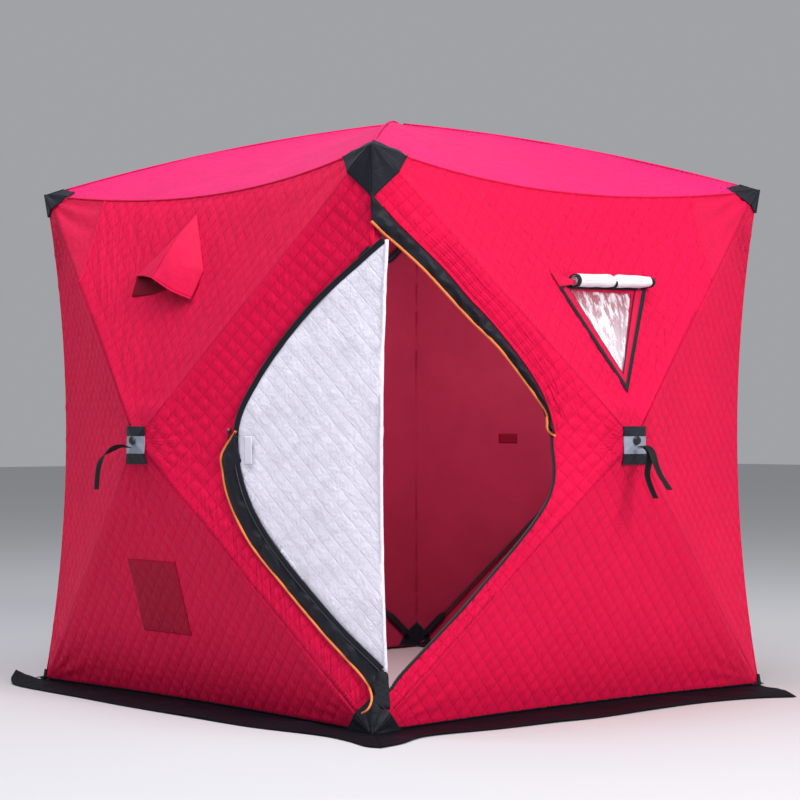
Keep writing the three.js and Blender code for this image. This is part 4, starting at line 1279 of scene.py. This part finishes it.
def build_leaf():
    edge = spline(LEAF_EDGE, 160)
    s, z = np.meshgrid(np.arange(0, 62) * STEP, np.arange(18, 156) * STEP)
    outline = np.vstack([edge, [(-0.02, LEAF_EDGE[end][1]) for end in (-1, 0)]])
    points = np.stack([s.ravel(), z.ravel()], 1)
    cells = grid_cells(*s.shape)
    centre = points[cells].mean(1)
    cells = cells[inside(outline, centre[:, 0], centre[:, 1])]
    rim = rim_of(cells)
    rim = rim[points[rim, 0] > STEP / 2]
    points[rim] = nearest_on(outline, points[rim])[0]
    s, z = points[:, 0], points[:, 1]
    miss = nearest_on(open_line(edge), points)[1]
    depth = np.minimum(miss / 0.02, 1)
    pucker = 0.0035 * soft_noise(s, z, 0.045, 8) * bell(miss, 0.05)
    crease = 0.0030 * soft_noise(s * 0.7 + z * 0.7, (s - z) * 0.25, 0.03, 9) \
        + 0.0060 * soft_noise(s + 0.3 * z, z * 0.8, 0.17, 15)
    shape = leaf_belly(s, z) + (pucker + crease) * depth
    # the face turned out is the white lining, and the face to the wall is red
    outer = leaf_place(s, z, 0.001 + 0.0022 * quilt_height(s, z, 6, 0.12) * depth + shape)
    inner = leaf_place(s, z, -0.003 - 0.0030 * quilt_height(s, z, 7) * depth + shape)
    places, faces, uv, sides = shell_from_cells(points, cells[:, ::-1], outer, inner)
    piece = finish_mesh("door_leaf_quilt", places, faces, ("silver", "red"), uv, sides, folds=0 * uv)
    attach(piece, "door_leaf_body")
    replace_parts(piece, "door_leaf")
    # zip tape and coil round its free edge
    line = spline(LEAF_EDGE, 220)[1:-2]
    lift = 0.0035 + leaf_belly(line[:, 0], line[:, 1])
    grid = strip_between(offset_line(line, 0.014), offset_line(line, -0.003), 5)
    places = facing(leaf_place(grid[..., 0], grid[..., 1], lift[None]), np.array([0.25, -0.97, 0]))
    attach(grid_sheet("leaf_zip_tape", places, 0.0015, ("black",)), "door_leaf_body")
    coil = offset_line(line, 0.015)
    places = leaf_place(coil[:, 0], coil[:, 1], lift)
    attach(tube("leaf_zip_coil", places, ZIP_COIL, ("plastic",), 8), "door_leaf_body")
    # folded hem down the fold line
    z = np.linspace(LEAF_EDGE[-1][1], LEAF_EDGE[0][1], 90)
    places = leaf_place(0.003 + 0.0012 * soft_noise(z, 0 * z, 0.05, 3), z, 0.002)
    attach(tube("leaf_fold_hem", places, 0.0058, ("silver",), 10), "door_leaf_body")
    # small loop tab sewn on the lining
    s, z = np.meshgrid(np.linspace(0.480, 0.512, 8), np.linspace(0.796, 0.884, 18))
    places = leaf_place(s, z, 0.0075 + leaf_belly(s, z))[:, ::-1]
    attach(grid_sheet("leaf_tab", places, 0.001, ("tab",)), "door_leaf_body")


def build_zips():
    left = spline(on_left_wall(LEFT_ZIP), 260)
    left = left[left[:, 0] < HALF - side_bow(left[:, 1]) - 0.004]
    one, other = (offset_line(left, aside) for aside in (-0.011, 0.006))
    wall_strip("zip_tape_left", 0, 2, one, other, 0.0045, 0.0022, "black", 5)
    wall_tube("zip_coil_left", 0, 2, offset_line(left, 0.004), 0.0065, ZIP_COIL, "plastic")
    right = spline(on_right_wall(RIGHT_EDGE), 260)
    right = right[-right[:, 0] < HALF - side_bow(right[:, 1]) - 0.004]
    one, other = (offset_line(right, aside) for aside in (0.0025, -0.0025))
    wall_strip("zip_tape_right", 1, 0, one, other, 0.0030, 0.0035, "black", 5)
    wall_tube("zip_coil_right", 1, 0, offset_line(right, -0.005), 0.002, ZIP_COIL, "plastic")


FLAP_CLOTH = 0.0024
# edges of the storm flaps, as distance from the door corner and height
LEFT_FLAP_INNER = [(.505, .885), (.504, .840), (.434, .640), (.316, .496), (.168, .353), (.022, .232),
                   (.002, .208)]
LEFT_FLAP_OUTER = [(.512, .900), (.565, .815), (.548, .703), (.463, .562), (.334, .431), (.188, .292),
                   (.056, .177), (.002, .118)]
LEFT_FLAP_TAIL = [(.884, -.897, .140), (.912, -.912, .118), (.923, -.925, .098), (.920, -.937, .080),
                  (.897, -.938, .068)]
RIGHT_FLAP_SEAM = [(.008, 1.612), (.028, 1.590), (.096, 1.520), (.236, 1.398), (.331, 1.301), (.407, 1.230),
                   (.525, 1.098), (.594, .990), (.628, .884)]
RIGHT_FLAP_FREE = [(.016, 1.526), (.062, 1.486), (.109, 1.450), (.184, 1.388), (.245, 1.330), (.335, 1.243),
                   (.441, 1.148), (.562, 1.005), (.600, .950), (.600, .912)]
RIGHT_FLAP_END = [(.598, .945), (.600, .925), (.600, .912), (.606, .900), (.628, .884)]


def clear_of_slider(v):
    """How far the left flap stands off the wall, so that the zip slider passes under it."""
    return 0.0075 + 0.0165 * smooth_step((v - 0.765) / 0.06)


def build_flaps():
    # left: over the lower half of the zip, edge piped in orange
    inner, outer = (spline(on_left_wall(line), 150) for line in (LEFT_FLAP_INNER, LEFT_FLAP_OUTER))
    piece = wall_strip("flap_left", 0, 2, outer, inner, clear_of_slider, FLAP_CLOTH, "black", 11,
                       bulge=0.010, ruffle=0.009)
    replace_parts(piece, "storm_flap_left")
    edge = outer[:-3]
    wall_tube("flap_left_piping", 0, 2, edge, clear_of_slider(edge[:, 1]) + 0.001, 0.0042, "orange")
    # its loose piping end hangs over the boot
    tail = tube("flap_left_tail", spline(LEFT_FLAP_TAIL, 30), np.linspace(0.0042, 0.003, 30), ("orange",), 8)
    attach(tail, "shell")
    # right: sewn along the upper half of the opening, free edge piped
    seam, free = (spline(on_right_wall(line), 170) for line in (RIGHT_FLAP_SEAM, RIGHT_FLAP_FREE))
    piece = wall_strip("flap_right", 1, 0, seam, free, 0.0065, FLAP_CLOTH, "black", 15,
                       bulge=0.012, ruffle=0.016)
    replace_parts(piece, "storm_flap_right")
    line = np.vstack([free[:-6], spline(on_right_wall(RIGHT_FLAP_END), 20)])
    wall_tube("flap_right_piping", 1, 0, even(line, 170), 0.0075, 0.0046, "orange")
    # its foot, and the red cloth between its head and the corner
    foot, toe = (spline(on_right_wall(line), 12) for line in
                 ([(.006, .232), (.034, .204), (.062, .176)], [(.004, .078), (.034, .075), (.058, .073)]))
    wall_strip("flap_left_foot", 1, 0, foot, toe, 0.0072, FLAP_CLOTH, "black", 9)
    v = np.linspace(1.528, 1.440, 14)
    corner = np.stack([side_bow(v) - HALF, v], 1)
    far = np.stack([-HALF + np.linspace(.024, .060, 14), np.linspace(1.520, 1.478, 14)], 1)
    wall_strip("door_top_gusset", 1, 0, corner, far, -0.010, FLAP_CLOTH, "red_plain", 6)
    wall_tube("flap_right_seam", 1, 0, offset_line(seam, 0.004)[10:], 0.0060, 0.0030, "red_plain")


# ---------------------------------------------------------- window and vent

# each side of the window from its top corner to its foot: the border's outer edge, its inner edge and
# the inner edge of the facing
WINDOW_EDGES = {
    "left": [((-.172, 1.360), (.025, 1.022)), ((-.156, 1.360), (.026, 1.048)),
             ((-.122, 1.360), (.0265, 1.082))],
    "right": [((.247, 1.372), (.025, 1.022)), ((.230, 1.372), (.026, 1.048)),
              ((.198, 1.372), (.0285, 1.082))],
}


def build_window():
    # hook-and-loop border round it, with a plain red facing and its black binding inside
    edges = {label: [np.linspace(*ends, 60) for ends in lines] for label, lines in WINDOW_EDGES.items()}
    for label, (outer, middle, _) in edges.items():
        wall_strip(f"window_border_{label}", 1, 1, outer, middle, 0.0052, 0.0024, "black", 4)
    upper, lower = (np.linspace((-.150, v), (.225, v + .010), 60) for v in (1.368, 1.352))
    wall_strip("window_border_top", 1, 1, upper, lower, 0.0054, 0.0024, "black", 4)
    for label, (_, middle, inner) in edges.items():
        wall_strip(f"window_facing_{label}", 1, 1, middle, inner, 0.0046, 0.006, "red_plain", 4, bulge=0.001)
    for label, (_, _, inner) in edges.items():
        wall_tube(f"window_binding_{label}", 1, 1, inner, 0.003, 0.0022, "black")
    # crinkled clear pane
    t, s = np.meshgrid(np.linspace(0, 1, 90), np.linspace(0, 1, 110))
    u = (-.155 + .385 * t) * (1 - s) + .028 * s
    v = 1.362 * (1 - s) + 1.052 * s
    lines = soft_noise(t * 2.2 + 0.06 * soft_noise(t, s, 0.2, 2), s * 0.16, 0.055, 31)
    fine = soft_noise(t * 2.2, s * 0.3, 0.021, 32)
    held = 0.25 + 0.75 * np.sin(np.pi * np.clip(s * 1.2, 0, 1))
    height = -0.0065 + (0.0034 * lines + 0.0016 * fine) * held
    places = on_wall(1, u, v, np.minimum(height, -0.0035))[::-1]
    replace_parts(wall_blend(grid_sheet("window_vinyl", places, 0.0006, ("vinyl",)), 1, 1), "window_pane")


BLIND_SIDES = 40
BLIND_LIFT = 0.026
ROLL_OUT, ROLL_UP = np.array([1.0, 0, 0]), np.array([0, 0, 1.0])


def ring(centre, radius, squeeze):
    """Points round a centre, in a plane across the roll, `squeeze` as tall as wide."""
    turn = np.linspace(0, 2 * np.pi, BLIND_SIDES)[:, None]
    return centre + radius * (np.cos(turn) * ROLL_OUT + squeeze * np.sin(turn) * ROLL_UP)


def blind_sheet(name, places, thick, *materials):
    return wall_blend(grid_sheet(name, np.array(places), thick, materials), 1, 1)


def build_blind():
    """The blind, rolled up white side out and held by a tie at the middle."""
    count = 90
    u = np.linspace(-.106, .246, count)
    share = np.linspace(0, 1, count)
    pinch = bell(share - 0.52, 0.035)
    radius = 0.0225 - 0.0075 * pinch - 0.0045 * smooth_step((share - 0.86) / 0.14)
    radius = radius + 0.0010 * soft_noise(u, 0 * u, 0.05, 3)
    angle = np.linspace(0, 2 * np.pi, BLIND_SIDES)
    lump = 1 + 0.05 * soft_noise(angle[None] * 0.02, u[:, None], 0.03, 7)
    flat = np.where(np.sin(angle) < 0, 0.82, 1.0)[None]
    w = radius[:, None] * np.cos(angle)[None] * lump
    v = radius[:, None] * np.sin(angle)[None] * lump * flat
    mid_v = 1.376 - 0.004 * pinch + 0.010 * (share - 0.5)
    middle = on_wall(1, u, mid_v, BLIND_LIFT)
    places = middle[:, None] + w[..., None] * ROLL_OUT + v[..., None] * ROLL_UP
    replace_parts(blind_sheet("blind_roll", places[:, ::-1], 0.0025, "lining_plain"), "window_blind")
    # spiral layers and dark bound ends
    turns = np.linspace(0, 5.2 * np.pi, 90)[:, None]
    for label, i, way in (("left", 0, -1), ("right", -1, 1)):
        r = np.linspace(0.0035, abs(radius[i]) * 0.93, 90)[:, None]
        line = middle[i] + r * (np.cos(turns) * ROLL_OUT + np.sin(turns) * 0.92 * ROLL_UP)
        rows = [line + (0, way * d, 0) for d in (-0.020, -0.004, 0.004)]
        blind_sheet(f"blind_layers_{label}", rows, 0.0018, "lining_plain")
        rows = []
        for d, more in ((-0.006, 0.0016), (0.003, 0.0016), (0.010, -0.001)):
            spot = on_wall(1, np.array(u[i] + way * d), np.array(mid_v[i]), BLIND_LIFT)
            rows.append(ring(spot, abs(radius[i]) + more, 0.93))
        blind_sheet(f"blind_binding_{label}", np.array(rows)[:, ::-way], 0.002, "black")
    # tie
    centre = middle[int(count * 0.52)]
    rows = [ring(centre, 0.0158 + 0.0012 * math.cos(d * 160), 0.93) + (0, d, -0.001)
            for d in (-0.007, -0.003, 0.003, 0.007)]
    blind_sheet("blind_tie", np.array(rows)[:, ::-1], 0.0018, "black")
    # the unrolled corner of the blind's red face, folded up at the roll's left end
    t, s = np.meshgrid(np.linspace(0, 1, 12), np.linspace(0, 1, 10))
    a, b, c = np.array([(-.168, 1.356), (-.100, 1.360), (-.196, 1.402)])
    flat = a + (b - a) * t[..., None] + (c - a) * (s * (1 - t * 0.75))[..., None]
    lift = 0.008 + 0.026 * t**1.5 * (1 - 0.4 * s) + 0.004 * s
    blind_sheet("blind_corner", on_wall(1, flat[..., 0], flat[..., 1], lift), 0.002, "red_plain", "black")


# corners of the hood: u, v and how far each stands off the wall
HOOD_PEAK, HOOD_LEFT, HOOD_LIP = (-.040, 1.617, 0.004), (-.264, 1.421, 0.004), (-.072, 1.376, 0.078)
HOOD_KNEE, HOOD_RIGHT = (.100, 1.420, 0.004), (.090, 1.323, 0.012)


def build_vent():
    # two panels that meet on a crease from the peak to the lip
    peak, left, lip, knee, right = (on_wall(0, np.array(u), np.array(v), lift) for u, v, lift in
                                    (HOOD_PEAK, HOOD_LEFT, HOOD_LIP, HOOD_KNEE, HOOD_RIGHT))
    count, bend = 34, 23
    s = np.linspace(0.01, 1, count)
    left_line = peak + (left - peak) * s[:, None]
    crease = peak + (lip - peak) * s[:, None] + np.sin(np.pi * s)[:, None] * np.array([0, -0.012, 0.004])
    right_line = np.vstack([mix(peak, knee, s[:bend] / s[bend]),
                            mix(knee, right, np.linspace(0, 1, count - bend))])
    share = np.linspace(0, 1, 20)[None, :, None]
    panels = {"left": (left_line, crease, 41, -0.004), "right": (crease, right_line, 42, 0.006)}
    mouth = []
    for label, (one, other, seed, droop) in panels.items():
        places = one[:, None] * (1 - share) + other[:, None] * share
        a = np.broadcast_to(share[..., 0], places.shape[:2])
        b = s[:, None] * np.ones_like(a)
        soft = 0.006 * np.sin(np.pi * a) * b + 0.0022 * soft_noise(a * 0.3, b * 0.3, 0.05, seed) * b
        places = places + soft[..., None] * np.array([0, -1.0, 0.1])
        places[..., 2] -= droop * np.sin(np.pi * a) * b**6
        places = places[::-1]
        mouth.append(places[0])
        # the hood's inner face gets hood_inside, painted shade under the hood
        piece = wall_blend(grid_sheet(f"hood_{label}", places, 0.0022, ("hood", "hood_inside")), 0, 1)
        if label == "left":
            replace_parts(piece, "vent_hood")
    # turned hem along the mouth
    hem = even(np.vstack([mouth[0], mouth[1][1:]]), 60)
    wall_blend(tube("hood_hem", hem, 0.0030, ("hood",), 8), 0, 1)
    # mesh over the opening behind the hood
    hole = vent_outline()
    t, s = np.meshgrid(np.linspace(0, 1, 16), np.linspace(0, 1, 16))
    quad = (hole[0] * ((1 - t) * (1 - s))[..., None] + hole[1] * ((1 - t) * s)[..., None]
            + hole[2] * (t * s)[..., None] + hole[3] * (t * (1 - s))[..., None])
    places = on_wall(0, quad[..., 0], quad[..., 1], -0.003)[::-1]
    wall_blend(grid_sheet("vent_mesh", places, 0.001, ("mesh",)), 0, 1)


def build_vent_mouth():
    """A dark sheet in the lower half of the vent's opening, which the hood leaves open: painted shade inside
    the opening.
    """
    t, s = np.meshgrid(np.linspace(0, 1, 22), np.linspace(0, 1, 10))
    top = mix((-.262, 1.419), (-.060, 1.395), t)
    low = mix((-.256, 1.350), (-.078, 1.366), t)
    low[..., 1] -= 0.006 * np.sin(np.pi * t)
    flat = low * (1 - s[..., None]) + top * s[..., None]
    u, v = flat[..., 0], flat[..., 1]
    lift = 0.0046 + 0.001 * soft_noise(u, v, 0.03, 6) * np.sin(np.pi * t)
    wall_blend(grid_sheet("vent_mouth_painted_shade", on_wall(0, u, v, lift), 0.002, ("hood_inside",)), 0, 1)


# left, right, bottom and top of the square where a pocket is sewn inside, painted darker on the wall's outside
# as the pocket's shade, and of the tab inside the back wall
POCKET = (-.194, .071, .238, .478)
INNER_TAB = (.400, .478, .852, .889)


def build_pocket():
    """The square where a pocket is sewn on the inside of the left wall, drawn on the outside as a darker
    quilted patch of painted shade where the pocket keeps light from coming through the wall, and the tab
    opposite the door.
    """
    left, right, low, high = POCKET
    u, v = np.meshgrid(np.linspace(left, right, 60), np.linspace(low, high, 56))
    rim = np.minimum(np.minimum(u - left, right - u), np.minimum(v - low, high - v))
    height = 0.0035 + 0.75 * QUILT_DEEP * quilt_height(u, v, 0) * np.minimum(rim / 0.01, 1)
    places = on_wall(0, u, v, height)
    wall_blend(grid_sheet("pocket_shadow_square", places, 0.003, ("pocket",), np.stack([u, v], -1)), 0, 3)
    u, v = np.meshgrid(np.linspace(*INNER_TAB[:2], 12), np.linspace(*INNER_TAB[2:], 8))
    piece = grid_sheet("inner_tab", on_wall(2, u, v, -0.0075), 0.0015, ("hood_inside",))
    wall_blend(piece, 2, 2)


def cad_materials():
    """Better materials on the hard CAD nodes that stay."""
    looks = {"hub_": "plastic", "zip_slider": "metal", "zip_pull": "plastic", "vent_prop": "plastic"}
    for name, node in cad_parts.items():
        for start, material in looks.items():
            if name.startswith(start) and not name.startswith("hub_patch"):
                node.data.materials.clear()
                node.data.materials.append(MATERIALS[material])


# --------------------------------------------------------------------- floor

FLOOR_HALF = 40


def add_floor():
    floor = bpy.data.meshes.new("floor")
    corners = [(x * FLOOR_HALF, y * FLOOR_HALF, 0) for x, y in ((-1, -1), (1, -1), (1, 1), (-1, 1))]
    floor.from_pydata(corners, [], [(0, 1, 2, 3)])
    piece = bpy.data.objects.new("floor", floor)
    bpy.context.scene.collection.objects.link(piece)
    floor.materials.append(principled("floor", (0.58, 0.58, 0.59), 0.9))


add_camera()
add_light()
add_floor()
make_materials()
build_straps()
build_walls()
build_roof()
build_boots()
build_seams()
build_roof_seams()
build_skirts()
build_poles()
build_patches()
build_fixed_half()
build_leaf()
build_zips()
build_flaps()
build_window()
build_blind()
build_vent()
build_vent_mouth()
build_pocket()
cad_materials()
